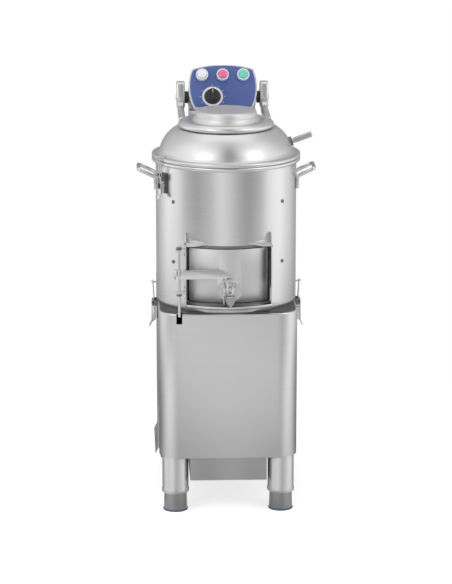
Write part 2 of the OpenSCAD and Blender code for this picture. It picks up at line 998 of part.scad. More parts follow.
module motor() {
    color([0.2, 0.3, 0.4]) framed() translate([0, motor_y, base_top]) difference() {
        union() {
            cylinder(r = motor_flange_r, h = motor_flange_t);
            cylinder(r = motor_r, h = motor_h);
        }
        translate([0, 0, -over])
            cylinder(r = motor_shaft_r + fit, h = motor_shaft_up + 2 * over);
    }
}

module motor_shaft() {
    color([0.7, 0.7, 0.72]) framed() translate([0, motor_y, pulley_z - shaft_below])
        cylinder(r = motor_shaft_r, h = base_top + motor_shaft_up - pulley_z + shaft_below);
}

module motor_pulley() {
    color([0.35, 0.35, 0.37]) framed() translate([0, motor_y, pulley_z])
        tube(small_pulley_r, motor_shaft_r + fit, pulley_h);
}

// Outline of the belt's inner or outer face: an arc round each pulley and the straights between them
function belt_points(grow, lean) = concat(
    [for (i = [0:belt_steps]) (big_pulley_r + grow) * belt_way(180 - lean + i / belt_steps * (180 + 2 * lean))],
    [for (i = [0:belt_steps]) [0, motor_y] + (small_pulley_r + grow) * belt_way(lean + i / belt_steps * (180 - 2 * lean))]);
function belt_way(angle) = [cos(angle), sin(angle)];

module drive_belt() {
    lean = asin((big_pulley_r - small_pulley_r) / motor_y);
    color([0.12, 0.12, 0.12]) framed() translate([0, 0, pulley_z + bearing_inset])
        linear_extrude(pulley_h - 2 * bearing_inset) difference() {
            polygon(belt_points(belt_t + seat, lean));
            polygon(belt_points(seat, lean));
        }
}

// Column and controls

module rear_column() {
    low_in = base_half_w - column_wall;
    color([0.74, 0.74, 0.75]) framed() difference() {
        span([-base_half_w, column_front, base_top], [base_half_w, column_rear, column_top]);
        span([-low_in, column_front + column_wall, base_top - over],
            [low_in, column_rear + over, column_top - column_wall]);
        span([-low_in + column_flange, column_front + column_flange, base_top],
            [low_in - column_flange, column_rear + over, column_top + over]);
    }
}

module rear_cover() {
    low = base_top + seat;
    color([0.7, 0.7, 0.71]) framed() difference() {
        span([-base_half_w, column_rear, low], [base_half_w, column_rear + rear_cover_t, column_top]);
        for (i = [0:louvre_count - 1])
            span([-louvre_w / 2, column_rear - over, louvre_z - i * louvre_pitch],
                [louvre_w / 2, column_rear + rear_cover_t + over, louvre_z - i * louvre_pitch + louvre_h]);
        translate([gland_x, column_rear - over, gland_z]) rotate([-90, 0, 0])
            cylinder(r = gland_r - 2 * rear_cover_t + fit, h = rear_cover_t + 2 * over);
    }
}

module cable_gland() {
    inner = gland_nut_h + rear_cover_t;
    color([0.1, 0.1, 0.1]) framed() translate([gland_x, column_rear, gland_z]) rotate([-90, 0, 0]) difference() {
        union() {
            translate([0, 0, rear_cover_t])
                cylinder(r = gland_r, h = gland_nut_h, $fn = 6);
            translate([0, 0, -gland_nut_h])
                cylinder(r = gland_r - 2 * rear_cover_t, h = gland_l + inner);
            translate([0, 0, -gland_nut_h])
                cylinder(r = gland_r, h = gland_nut_h, $fn = 6);
        }
        translate([0, 0, -gland_nut_h - over])
            cylinder(r = gland_bore, h = gland_l + inner + 2 * over);
    }
}

// Panel frame: x across, y up the plate, z out of it
module panel_frame() {
    framed() translate([0, panel_y, panel_z]) rotate([90 - panel_tilt, 0, 0])
        children();
}

module panel_outline(grow) {
    side = side_arc_r + grow;
    mid_v = panel_h * side_arc_v_share;
    off = side_arc_r - panel_half_w;
    intersection() {
        translate([off, mid_v])
            circle(side);
        translate([-off, mid_v])
            circle(side);
        translate([0, panel_h - top_arc_r])
            circle(top_arc_r + grow);
        translate([-column_w, -grow])
            square([2 * column_w, panel_h + 3 * panel_lip]);
    }
}

// Section of the control housing across its width, inset by a wall
module housing_section(inset, low) {
    top_v = panel_h - inset;
    top_y = panel_y + inset / cos(panel_tilt);
    top_z = panel_z + top_v * cos(panel_tilt);
    polygon([[panel_y + inset, column_top - low], [top_y, panel_z],
        [top_y + top_v * sin(panel_tilt), top_z], [housing_top_y, top_z],
        [column_rear - inset, top_z - housing_rear_drop], [column_rear - inset, column_top - low]]);
}

module housing_solid(inset, low) {
    intersection() {
        framed() translate([-column_w, 0, 0]) rotate([90, 0, 90]) linear_extrude(2 * column_w)
            housing_section(inset, low);
        panel_frame() translate([0, -4 * panel_lip, -2 * column_w]) linear_extrude(4 * column_w) union() {
            translate([0, 4 * panel_lip])
                panel_outline(plate_border - inset);
            translate([-housing_foot_half + inset, -2 * column_w])
                square([2 * (housing_foot_half - inset), 2 * column_w + 5 * panel_lip]);
        }
    }
}

module control_housing() {
    color([0.72, 0.72, 0.73]) difference() {
        housing_solid(0, 0);
        housing_solid(housing_wall, over);
        framed() translate([-column_w, hinge_y, hinge_z]) rotate([0, 90, 0])
            cylinder(r = axle_r + fit, h = 2 * column_w);
        panel_frame() for (x = [-button_pitch, 0, button_pitch])
            translate([x, button_v, -2 * housing_wall])
                cylinder(r = bezel_tube_r + seat, h = 3 * housing_wall);
        panel_frame() translate([knob_u, knob_v, -2 * housing_wall])
            cylinder(r = knob_shaft_r + over, h = 3 * housing_wall);
    }
}

module control_plate() {
    color([0.3, 0.38, 0.63]) panel_frame() linear_extrude(panel_t) difference() {
        panel_outline(0);
        for (x = [-button_pitch, 0, button_pitch])
            translate([x, button_v])
                circle(bezel_tube_r + fit);
        translate([knob_u, knob_v])
            circle(knob_shaft_r + over);
    }
}

module button_bezels() {
    color([0.85, 0.85, 0.82]) panel_frame() for (x = [-button_pitch, 0, button_pitch])
        translate([x, button_v, 0]) {
            translate([0, 0, panel_t])
                tube(bezel_r, bezel_bore, bezel_h);
            translate([0, 0, -bezel_sink])
                tube(bezel_tube_r, bezel_bore, bezel_sink + panel_t + bezel_h);
        }
}

module button(x) {
    panel_frame() translate([x, button_v, -button_sink]) {
        cylinder(r = button_r, h = button_sink + panel_t + button_proud - over);
        translate([0, 0, button_sink + panel_t + button_proud - over])
            cylinder(r1 = button_r, r2 = button_r - over, h = over);
    }
}

module button_white() {
    color([0.93, 0.92, 0.88]) button(-button_pitch);
}

module button_red() {
    color([0.75, 0.25, 0.3]) button(0);
}

module button_green() {
    color([0.55, 0.85, 0.7]) button(button_pitch);
}

module timer_knob() {
    base = panel_t + knob_gap;
    color([0.08, 0.08, 0.08]) panel_frame() translate([knob_u, knob_v, base]) {
        cylinder(r = knob_r, h = knob_skirt_h);
        cylinder(r = knob_body_r, h = knob_h - grip_drop);
        translate([-grip_w / 2, -knob_body_r, 0])
            cube([grip_w, 2 * knob_body_r, knob_h]);
        translate([0, 0, -base - 2 * knob_skirt_h])
            cylinder(r = knob_shaft_r, h = base + 2 * knob_skirt_h);
    }
}

module timer_body() {
    color([0.3, 0.3, 0.3]) panel_frame() translate([knob_u, knob_v, -housing_wall - timer_depth]) difference() {
        translate([-timer_size / 2, -timer_size / 2, 0])
            cube([timer_size, timer_size, timer_depth]);
        translate([0, 0, timer_depth - 2 * knob_skirt_h])
            cylinder(r = knob_shaft_r + fit, h = timer_depth);
    }
}

// Lid

module hinge_axle() {
    reach = arm_x + arm_w + axle_end;
    color([0.6, 0.6, 0.62]) framed() translate([-reach, hinge_y, hinge_z]) rotate([0, 90, 0])
        cylinder(r = axle_r, h = 2 * reach);
}

module hinge_bushes() {
    from = panel_half_w + plate_border + bush_gap;
    color([0.1, 0.1, 0.1]) framed() for (side = [0, 1]) mirror([side, 0, 0])
        translate([from, hinge_y, hinge_z]) rotate([0, 90, 0])
            tube(bush_r, axle_r + fit, arm_x - bush_gap - from);
}

// Section of the dome between its flange and its shelf, thinned by an inset
module dome_section(inset) {
    intersection() {
        translate([dome_c_r, dome_z - dome_drop])
            circle(dome_arc_r - inset);
        translate([0, dome_z - over - inset])
            square([drum_d, shelf_rise + over]);
    }
}

module lid_dome() {
    color([0.75, 0.75, 0.75]) framed() {
        difference() {
            rotate_extrude() difference() {
                union() {
                    dome_section(0);
                    translate([0, flange_z])
                        square([rim_r, flange_h]);
                }
                dome_section(dome_wall);
                translate([0, flange_z - over])
                    square([dome_r - dome_wall, flange_h + over]);
                square([shelf_hole_r, 2 * shelf_z]);
            }
            inlet_frame() translate([0, 0, -nut_r])
                cylinder(r = nipple_r + fit, h = 2 * nut_r);
        }
        rotate([0, 0, latch_angle])
            catch_hook(dome_r - dome_wall / 2, latch_bar_r, dome_z);
    }
}

module lid_collar() {
    low = shelf_z;
    top = shelf_z + collar_rise;
    color([0.78, 0.78, 0.78]) framed() rotate_extrude() difference() {
        intersection() {
            union() {
                translate([collar_r - collar_arc_r, (low + top) / 2])
                    circle(collar_arc_r);
                translate([0, low])
                    square([collar_r - collar_arc_r, collar_rise - deck_drop]);
            }
            translate([0, low])
                square([collar_r, collar_rise]);
        }
        translate([0, low - over])
            square([collar_r - 2 * collar_wall, collar_rise + over - collar_deck - deck_drop]);
        translate([0, low - over])
            square([shelf_hole_r, 2 * collar_rise]);
    }
}

module lid_crown() {
    r = crown_r;
    top = crown_h - crown_edge;
    deck = shelf_z + collar_rise - deck_drop;
    color([0.8, 0.8, 0.8]) framed() translate([0, 0, deck]) rotate_extrude() difference() {
        union() {
            polygon([[0, 0], [r + crown_flare, 0], [r, crown_flare], [r, top], [0, top]]);
            translate([r - crown_edge, top])
                circle(crown_edge);
            translate([0, top])
                square([r - crown_edge, crown_edge - crown_dish]);
        }
        translate([0, -over])
            square([r - crown_wall, top - crown_wall + over]);
    }
}

module lid_arms() {
    eye_low = hinge_z - eye_r;
    color([0.76, 0.76, 0.76]) framed() difference() {
        for (side = [0, 1]) mirror([side, 0, 0]) translate([arm_x, 0, 0]) rotate([90, 0, 90]) linear_extrude(arm_w) {
            translate([hinge_y, hinge_z])
                circle(eye_r);
            polygon([[arm_tip_y, arm_low], [hinge_y + eye_r, arm_low], [hinge_y + eye_r, hinge_z],
                [hinge_y - eye_r, hinge_z], [hinge_y - 1.4 * eye_r, arm_low + arm_h], [arm_tip_y, arm_low + arm_h]]);
        }
        translate([-2 * arm_x, hinge_y, hinge_z]) rotate([0, 90, 0])
            cylinder(r = axle_r + fit, h = 4 * arm_x);
        rotate_extrude()
            dome_section(-plate_gap);
        translate([0, 0, shelf_z - over])
            cylinder(r = collar_r + plate_gap, h = 2 * collar_rise);
    }
}

module inlet_frame() {
    translate([inlet_x, 0, inlet_z]) rotate([0, 90 - inlet_tilt, 0])
        children();
}

module water_inlet() {
    color([0.3, 0.3, 0.31]) framed() inlet_frame() difference() {
        union() {
            cylinder(r = nut_r, h = nut_h, $fn = 6);
            translate([0, 0, -inlet_inside])
                cylinder(r = nipple_r, h = inlet_inside + nut_h + nipple_l);
        }
        translate([0, 0, -inlet_inside - over])
            cylinder(r = nipple_bore, h = inlet_inside + nut_h + nipple_l + 2 * over);
    }
}

// A round bar between two points
module bar(a, b, r) {
    d = b - a;
    l = norm(d);
    translate(a) rotate([0, acos(d[2] / l), atan2(d[1], d[0])])
        cylinder(r = r, h = l);
}

module side_handles() {
    y = handle_l / 2;
    seat_r = drum_r + handle_r + knuckle + plate_gap;
    foot_x = sqrt(seat_r * seat_r - y * y);
    low = [foot_x, y, handle_z];
    mid = [foot_x, y, handle_z + handle_foot_h];
    end = [finger_end_x, y, handle_z + handle_foot_h + handle_rise];
    color([0.7, 0.7, 0.7]) framed() for (side = [0, 1]) mirror([side, 0, 0]) {
        for (turn = [0, 1]) mirror([0, turn, 0]) {
            translate(low)
                cylinder(r = handle_r + knuckle, h = handle_foot_h + handle_r);
            bar(mid, end, handle_r);
        }
        translate([end[0], -y - handle_r, end[2]]) rotate([-90, 0, 0])
            cylinder(r = handle_r + knuckle, h = 2 * (y + handle_r));
    }
}

// Chute and door

module discharge_chute() {
    color([0.74, 0.74, 0.75]) framed() difference() {
        union() {
            for (side = [0, 1]) mirror([side, 0, 0]) translate([cheek_x, 0, 0]) rotate([90, 0, 90])
                linear_extrude(chute_t)
                    polygon([[-cheek_root_y, cheek_low], [-cheek_front, cheek_low], [-cheek_front, cheek_bend_z],
                        [-cheek_front + cheek_tip_back, cheek_top], [-cheek_root_y, cheek_top]]);
            translate([0, 0, cheek_low - tray_t]) linear_extrude(tray_t) intersection() {
                translate([0, tray_arc_r - tray_tip])
                    circle(tray_arc_r);
                translate([-tray_half, -2 * drum_d])
                    square([2 * tray_half, 2 * drum_d - cheek_root_y]);
            }
            span([-cheek_x, -lintel_front, lintel_z], [cheek_x, -lintel_front + lintel_t, lintel_z + lintel_h]);
            for (z = [lug_low, lug_high]) translate([-rod_x, -rod_y, z]) {
                cylinder(r = lug_r, h = lug_t);
                translate([0, -lug_r / 2, 0])
                    cube([rod_x - cheek_x - chute_t, lug_r / 2 + lug_back, lug_t]);
            }
        }
        cylinder(r = drum_r + plate_gap, h = 2 * drum_top);
        translate([-rod_x, -rod_y, 0])
            cylinder(r = rod_r + fit, h = 2 * drum_top);
        translate([boss_x - bolt_x, -bolt_y, 0])
            cylinder(r = bolt_r + seat, h = 2 * drum_top);
    }
}

module hinge_rod() {
    color([0.75, 0.75, 0.76]) framed() translate([-rod_x, -rod_y, 0]) {
        translate([0, 0, rod_low])
            cylinder(r = rod_r, h = rod_top - rod_low);
        translate([0, 0, lug_high + lug_t])
            cylinder(r = rod_nut_r, h = rod_nut_h, $fn = 6);
        translate([0, 0, lug_low - rod_nut_h])
            cylinder(r = rod_nut_r, h = rod_nut_h, $fn = 6);
    }
}

module forward_pin(x, z, from, to, r) {
    translate([x, -to, z]) rotate([-90, 0, 0])
        cylinder(r = r, h = to - from);
}

module door_panel() {
    guide_z = boss_z - guide_drop;
    color([0.72, 0.72, 0.73]) framed() {
        intersection() {
            translate([0, 0, door_low + door_gap])
                tube(door_r, door_r - door_t, door_open_h - 2 * door_gap);
            span([-door_half, -drum_d, 0], [door_half, -drum_r / 2, drum_top]);
        }
        forward_pin(boss_x, boss_z, boss_out - boss_core_t - door_t / 2, boss_out, boss_r);
        for (z = slot_stud_at) {
            forward_pin(boss_x, boss_z + z, boss_out - door_t, lever_face + seat + stud_head_h, slot_stud_r);
            forward_pin(boss_x, boss_z + z, lever_face + seat, lever_face + seat + stud_head_h, stud_head_r);
        }
        forward_pin(boss_x + peg_fixed[0], boss_z + peg_fixed[1], boss_out - door_t, peg_out, peg_r);
        difference() {
            union() {
                translate([boss_x - bolt_x, -bolt_y, guide_z])
                    cylinder(r = guide_r, h = guide_t);
                span([boss_x - bolt_x - guide_r, -bolt_y, guide_z],
                    [boss_x - bolt_x + guide_r, -boss_out + over, guide_z + guide_t]);
            }
            translate([boss_x - bolt_x, -bolt_y, guide_z - over])
                cylinder(r = bolt_r + fit, h = guide_t + 2 * over);
        }
    }
}

module door_strap() {
    top = strap_z + strap_h / 2;
    low = strap_z - strap_h / 2;
    eye_out = rod_r + eye_wall;
    color([0.7, 0.7, 0.71]) framed() difference() {
        union() {
            translate([0, -strap_front + strap_t, 0]) rotate([90, 0, 0]) linear_extrude(strap_t)
                polygon([[-rod_x, low], [-strap_bend_x - strap_h / 2, low], [boss_x - boss_r, boss_z],
                    [boss_x, boss_z], [boss_x + boss_r / 2, boss_z + boss_r / 2], [boss_x - strap_h / 4, top - strap_h / 2],
                    [-strap_bend_x, top], [-rod_x, top]]);
            translate([-rod_x, -rod_y, low])
                cylinder(r = eye_out, h = strap_h);
        }
        translate([boss_x, -2 * drum_r, boss_z]) rotate([-90, 0, 0])
            cylinder(r = boss_r + fit, h = 2 * drum_r);
        translate([-rod_x, -rod_y, 0])
            cylinder(r = rod_r + fit, h = 2 * drum_top);
    }
}

// The sliding latch: its strip rides on two shouldered studs and lifts the drop bolt
module door_lever() {
    half = lever_w / 2;
    low = knob_low + knob_tall + seat;
    slot_half = slot_stud_r + fit;
    slot_low = boss_z + slot_stud_at[0] - bolt_lift;
    slot_high = boss_z + slot_stud_at[1];
    sleeve_z = boss_z + bolt_sleeve_at;
    color([0.78, 0.78, 0.78]) framed() difference() {
        union() {
            span([boss_x - half, -lever_face, low], [boss_x + half, -lever_y_in, boss_z + lever_top]);
            span([boss_x - half, -knob_y - half, low], [boss_x + half, -lever_y_in, low + lever_t]);
            translate([boss_x, -knob_y, low - knob_tall / 2])
                cylinder(r = stud_r, h = knob_tall / 2 + lever_t);
            forward_pin(boss_x + peg_moving[0], boss_z + peg_moving[1], lever_y_in, peg_out, peg_r);
            translate([boss_x - bolt_x, -bolt_y, sleeve_z])
                cylinder(r = guide_r, h = bolt_sleeve_h);
            span([boss_x - bolt_x, -lever_face, sleeve_z], [boss_x - half + over, -lever_y_in, sleeve_z + bolt_sleeve_h]);
        }
        span([boss_x - slot_half, -lever_face - over, slot_low], [boss_x + slot_half, -lever_y_in + over, slot_high]);
        for (z = [slot_low, slot_high])
            forward_pin(boss_x, z, lever_y_in - over, lever_face + over, slot_half);
        translate([boss_x - bolt_x, -bolt_y, sleeve_z - over])
            cylinder(r = bolt_r + fit, h = bolt_sleeve_h + 2 * over);
    }
}

module lever_knob() {
    color([0.15, 0.15, 0.16]) framed() translate([boss_x, -knob_y, knob_low]) difference() {
        cylinder(r1 = lever_knob_r * knob_taper_share, r2 = lever_knob_r, h = knob_tall);
        translate([0, 0, knob_tall / 2])
            cylinder(r = stud_r + fit, h = knob_tall);
    }
}

module drop_bolt() {
    color([0.75, 0.75, 0.76]) framed() translate([boss_x - bolt_x, -bolt_y, 0]) {
        translate([0, 0, bolt_low])
            cylinder(r = bolt_r, h = bolt_top - bolt_low);
        for (z = [boss_z + bolt_sleeve_at - bolt_collar_h, boss_z + bolt_sleeve_at + bolt_sleeve_h])
            translate([0, 0, z])
                cylinder(r = bolt_r + bolt_collar_w, h = bolt_collar_h);
    }
}

// Spring between the two pegs: one tube whose curls open from its straight ends
spring_from = [boss_x + peg_moving[0], -spring_y, boss_z + peg_moving[1]];
spring_to = [boss_x + peg_fixed[0], -spring_y, boss_z + peg_fixed[1]];
spring_span = norm(spring_to - spring_from);
spring_clear = peg_r + seat;
spring_l = spring_span - 2 * spring_clear;
spring_steps = spring_curls * rings_per_curl;
spring_body = spring_l - 2 * wire_d;
function spring_swell(i) = min(1, 2 * i / rings_per_curl, 2 * (spring_steps - i) / rings_per_curl);
function coil_point(i) = [spring_r * spring_swell(i) * cos(360 * i / rings_per_curl),
    spring_r * spring_swell(i) * sin(360 * i / rings_per_curl), wire_d + spring_body * i / spring_steps];
coil_path = concat([[0, 0, 0]], [for (i = [0:spring_steps]) coil_point(i)], [[0, 0, spring_l]]);
coil_last = len(coil_path) - 1;
function unit(v) = v / norm(v);
function coil_way(i) = i == 0 || i == coil_last ? [0, 0, 1] : unit(coil_path[i + 1] - coil_path[i - 1]);
function ring_side(i) = unit(cross(coil_way(i), [sin(360 * (i - 1) / rings_per_curl), -cos(360 * (i - 1) / rings_per_curl), 0]));
function ring_point(i, k) = coil_path[i] + wire_d / 2 * (cos(360 * k / wire_sides) * ring_side(i)
    + sin(360 * k / wire_sides) * cross(coil_way(i), ring_side(i)));
coil_gaps = [for (i = [0:coil_last]) for (j = [i + rings_per_curl / 2:1:coil_last]) norm(coil_path[i] - coil_path[j]) - wire_d];
echo(least_spring_gap = min(coil_gaps));

module coil_tube() {
    n = wire_sides;
    points = [for (i = [0:coil_last]) for (k = [0:n - 1]) ring_point(i, k)];
    walls = [for (i = [0:coil_last - 1]) for (k = [0:n - 1]) for (half = [0, 1])
        half == 0 ? [i * n + k, (i + 1) * n + k, i * n + (k + 1) % n]
            : [i * n + (k + 1) % n, (i + 1) * n + k, (i + 1) * n + (k + 1) % n]];
    first = [for (k = [1:n - 2]) [0, k, k + 1]];
    last = [for (k = [1:n - 2]) [coil_last * n, coil_last * n + k + 1, coil_last * n + k]];
    polyhedron(points, concat(walls, first, last), convexity = spring_curls);
}

module lever_spring() {
    way = unit(spring_to - spring_from);
    color([0.6, 0.6, 0.62]) framed() translate(spring_from + way * spring_clear)
        rotate([0, acos(way[2]), atan2(way[1], way[0])])
            coil_tube();
}

stand_shell();
stand_top_plate();
legs();
foot_front_left();
foot_front_right();
foot_rear_left();
foot_rear_right();
filter_tank();
filter_basket();
drawer_front();
clamp_bases();
clamp_lever_left();
clamp_lever_right();
clamp_loop_left();
clamp_loop_right();
base_plate();
drum_casing();
drum_pan();
rim_ring();
abrasive_liner();
liner_screws();
bearing_housing();
shaft_bearings();
drive_shaft();
peeling_plate();
driven_pulley();
motor();
motor_shaft();
motor_pulley();
drive_belt();
rear_column();
rear_cover();
cable_gland();
control_housing();
control_plate();
button_bezels();
button_white();
button_red();
button_green();
timer_knob();
timer_body();
hinge_axle();
hinge_bushes();
lid_dome();
lid_collar();
lid_crown();
lid_arms();
water_inlet();
latch_base();
latch_lever();
latch_loop();
side_handles();
discharge_chute();
door_panel();
door_strap();
hinge_rod();
door_lever();
lever_knob();
drop_bolt();
lever_spring();
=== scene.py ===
import json
import math

import bmesh
import bpy
from mathutils import Matrix, Vector


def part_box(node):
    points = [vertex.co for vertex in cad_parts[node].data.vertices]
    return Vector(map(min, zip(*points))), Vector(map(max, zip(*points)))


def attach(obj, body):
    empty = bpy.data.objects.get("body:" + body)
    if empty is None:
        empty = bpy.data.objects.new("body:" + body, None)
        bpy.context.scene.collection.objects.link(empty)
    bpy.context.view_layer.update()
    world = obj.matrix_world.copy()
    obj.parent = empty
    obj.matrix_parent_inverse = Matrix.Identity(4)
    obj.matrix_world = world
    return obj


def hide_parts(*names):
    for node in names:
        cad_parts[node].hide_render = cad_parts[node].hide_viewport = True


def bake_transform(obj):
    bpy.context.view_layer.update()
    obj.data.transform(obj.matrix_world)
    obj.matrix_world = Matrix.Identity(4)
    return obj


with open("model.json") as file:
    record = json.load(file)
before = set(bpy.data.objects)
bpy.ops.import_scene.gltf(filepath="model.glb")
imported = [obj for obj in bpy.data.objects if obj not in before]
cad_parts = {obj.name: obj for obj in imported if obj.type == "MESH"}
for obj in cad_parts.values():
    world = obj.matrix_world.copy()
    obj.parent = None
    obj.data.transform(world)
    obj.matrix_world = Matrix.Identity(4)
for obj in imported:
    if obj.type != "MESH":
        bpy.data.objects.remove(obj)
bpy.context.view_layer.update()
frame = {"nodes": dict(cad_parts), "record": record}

scene = bpy.context.scene
record = frame["record"]
nodeBody = {name: body for body, members in record["behaviour"]["bodies"].items() for name in members}

mm = 0.001
sharpAngle = math.radians(32)  # edges that bend more are shaded sharp
unitScale = Matrix.Scale(mm, 4)
fromMetres = Matrix.Scale(1 / mm, 4)
ringLow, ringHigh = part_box("rim_ring")
axisY = (ringLow[1] + ringHigh[1]) / 2 / mm  # the drum's axis, in mm behind the origin


def at(x, y, z):  # a point given in mm from the drum's axis and the floor
    return Vector((x, y + axisY, z)) * mm


def onCircle(radius, degrees, centre=(0, 0)):
    angle = math.radians(degrees)
    return centre[0] + radius * math.cos(angle), centre[1] + radius * math.sin(angle)


def arcPoints(centre, radius, start, stop, steps):
    return [onCircle(radius, start + (stop - start) * k / steps, centre) for k in range(steps + 1)]


def shift(x, y, z):
    return Matrix.Translation((x, y, z))


def turn(degrees, axis):
    return Matrix.Rotation(math.radians(degrees), 4, axis)


drumAxis = Matrix.Translation(at(0, 0, 0)) @ unitScale
sideways = Matrix(((1, 0, 0, 0), (0, 0, -1, 0), (0, 1, 0, 0), (0, 0, 0, 1)))  # outline in x and z, drawn out along -y
facing = Matrix(((0, 0, 1, 0), (1, 0, 0, 0), (0, 1, 0, 0), (0, 0, 0, 1)))  # outline in y and z, drawn out along x

# Making meshes: sizes in mm, then put in place by a matrix


def linked(name, data):
    obj = bpy.data.objects.new(name, data)
    scene.collection.objects.link(obj)
    return obj


def meshPiece(verts, faces, name="part"):
    data = bpy.data.meshes.new(name)
    data.from_pydata([tuple(v) for v in verts], [], faces)
    return linked(name, data)


def skinned(rings, wrap=True):  # quads between rings of points, with a cap at each open end
    count, around = len(rings), len(rings[0])
    faces = [(i * around + k, i * around + (k + 1) % around, (i + 1) % count * around + (k + 1) % around,
        (i + 1) % count * around + k) for i in range(count if wrap else count - 1) for k in range(around)]
    if not wrap:
        faces += [tuple(range(around))[::-1], tuple((count - 1) * around + k for k in range(around))]
    return meshPiece([v for ring in rings for v in ring], faces)


def tidied(obj, merge=1e-6, flat=None):  # merges doubles, then turns faces outwards or joins those in one plane
    bm = bmesh.new()
    bm.from_mesh(obj.data)
    bmesh.ops.remove_doubles(bm, verts=bm.verts, dist=merge)
    if flat is None:
        bmesh.ops.recalc_face_normals(bm, faces=bm.faces)
    else:
        bmesh.ops.dissolve_limit(bm, angle_limit=math.radians(flat), verts=bm.verts, edges=bm.edges)
    bm.to_mesh(obj.data)
    bm.free()
    return obj


def smoothed(obj):
    obj.data.shade_smooth()
    obj.data.set_sharp_from_angle(angle=sharpAngle)
    return obj


def bakeDown(obj):  # modifiers become plain mesh
    graph = bpy.context.evaluated_depsgraph_get()
    shape = bpy.data.meshes.new_from_object(obj.evaluated_get(graph), depsgraph=graph)
    old = obj.data
    obj.modifiers.clear()
    obj.data = shape
    bpy.data.meshes.remove(old)
    return smoothed(obj)


def bevelled(obj, width, segments=2):
    bevel = obj.modifiers.new("edges", "BEVEL")
    bevel.width = width * mm
    bevel.segments = segments
    bevel.limit_method = "ANGLE"
    bevel.angle_limit = math.radians(35)
    return bakeDown(obj)


def placed(obj, matrix):
    obj.data.transform(matrix)
    obj.data.update()
    return obj


def cutWith(obj, low, high):  # takes the box between two corners out of a piece
    verts = [(x, y, z) for x in (low[0], high[0]) for y in (low[1], high[1]) for z in (low[2], high[2])]
    faces = [(0, 1, 3, 2), (4, 6, 7, 5), (0, 4, 5, 1), (2, 3, 7, 6), (0, 2, 6, 4), (1, 5, 7, 3)]
    cutter = tidied(meshPiece(verts, faces))
    cut = obj.modifiers.new("cut", "BOOLEAN")
    cut.object = cutter
    cut.operation = "DIFFERENCE"
    cut.solver = "EXACT"
    bakeDown(obj)
    bpy.data.objects.remove(cutter)


def joined(pieces):
    bm = bmesh.new()
    for piece in pieces:
        bm.from_mesh(piece.data)
        bpy.data.objects.remove(piece)
    data = bpy.data.meshes.new("part")
    bm.to_mesh(data)
    bm.free()
    data.set_sharp_from_angle(angle=sharpAngle)
    return linked("part", data)


def dressed(name, made, material, stands=()):  # one piece, or several joined, in place of CAD nodes
    obj = joined(made) if isinstance(made, list) else made
    obj.name = obj.data.name = name
    obj.data.materials.clear()
    obj.data.materials.append(material)
    if stands:
        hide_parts(*stands)
    return obj


def added(name, made, material, body="root"):  # a piece that the CAD model doesn't have
    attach(dressed(name, made, material), body)


def finished(name, made, material):  # the visible form of a CAD node
    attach(dressed(name + "_finished", made, material, [name]), nodeBody[name])


def cadShapes(material, bevel, *names, segments=2):  # merged and bevelled copies of CAD nodes
    for name in names:
        obj = tidied(linked(name, frame["nodes"][name].data.copy()), merge=2e-6, flat=0.5)
        finished(name, bevelled(obj, bevel, segments) if bevel else bakeDown(obj), material)


def rounded(points, steps=5, closed=True):  # corner points (a, b, radius) become arcs
    out = []
    count = len(points)
    for i, point in enumerate(points):
        here = Vector(point[:2])
        radius = point[2] if len(point) > 2 else 0
        ends = not closed and i in (0, count - 1)
        if not radius or ends:
            out.append(here)
            continue
        u = Vector(points[i - 1][:2]) - here
        v = Vector(points[(i + 1) % count][:2]) - here
        half = u.angle(v) / 2
        reach = min(radius / math.tan(half), 0.49 * u.length, 0.49 * v.length)
        radius = reach * math.tan(half)
        centre = here + (u.normalized() + v.normalized()).normalized() * radius / math.sin(half)
        start = here + u.normalized() * reach - centre
        stop = here + v.normalized() * reach - centre
        sweep = math.atan2(start.x * stop.y - start.y * stop.x, start.dot(stop))
        for k in range(steps + 1):
            cos, sin = math.cos(sweep * k / steps), math.sin(sweep * k / steps)
            out.append(centre + Vector((start.x * cos - start.y * sin, start.x * sin + start.y * cos)))
    return out


def revolved(profile, matrix=drumAxis, steps=128):  # closed profile of (radius, height)
    rings = [[matrix @ Vector((r * math.cos(a), r * math.sin(a), z)) for r, z in profile]
        for a in (2 * math.pi * i / steps for i in range(steps))]
    return smoothed(tidied(skinned(rings)))


def slab(outline, low, high, matrix=drumAxis, edge=0.4, segments=2):  # an outline drawn out along its own z
    obj = tidied(skinned([[matrix @ Vector((x, y, z)) for x, y in outline] for z in (low, high)], wrap=False))
    return bevelled(obj, edge, segments) if edge else bakeDown(obj)


def bothSides(outline, start, thick, matrix, edge, segments=2):  # the same slab left and right of the middle
    return [slab(outline, low, low + thick, matrix, edge, segments) for low in (start, -start - thick)]


def hexagon(radius, start=0):
    return [onCircle(radius, 60 * k + start) for k in range(6)]


def bentPath(points, bend, steps, closed):
    out = []
    count = len(points)
    for i, here in enumerate(points):
        if not closed and i in (0, count - 1):
            out.append(here)
            continue
        u = points[i - 1] - here
        v = points[(i + 1) % count] - here
        reach = min(bend / math.tan(u.angle(v) / 2), 0.48 * u.length, 0.48 * v.length)
        start, stop = here + u.normalized() * reach, here + v.normalized() * reach
        for k in range(steps + 1):
            t = k / steps
            out.append(start * (1 - t) ** 2 + here * 2 * t * (1 - t) + stop * t * t)
    return out


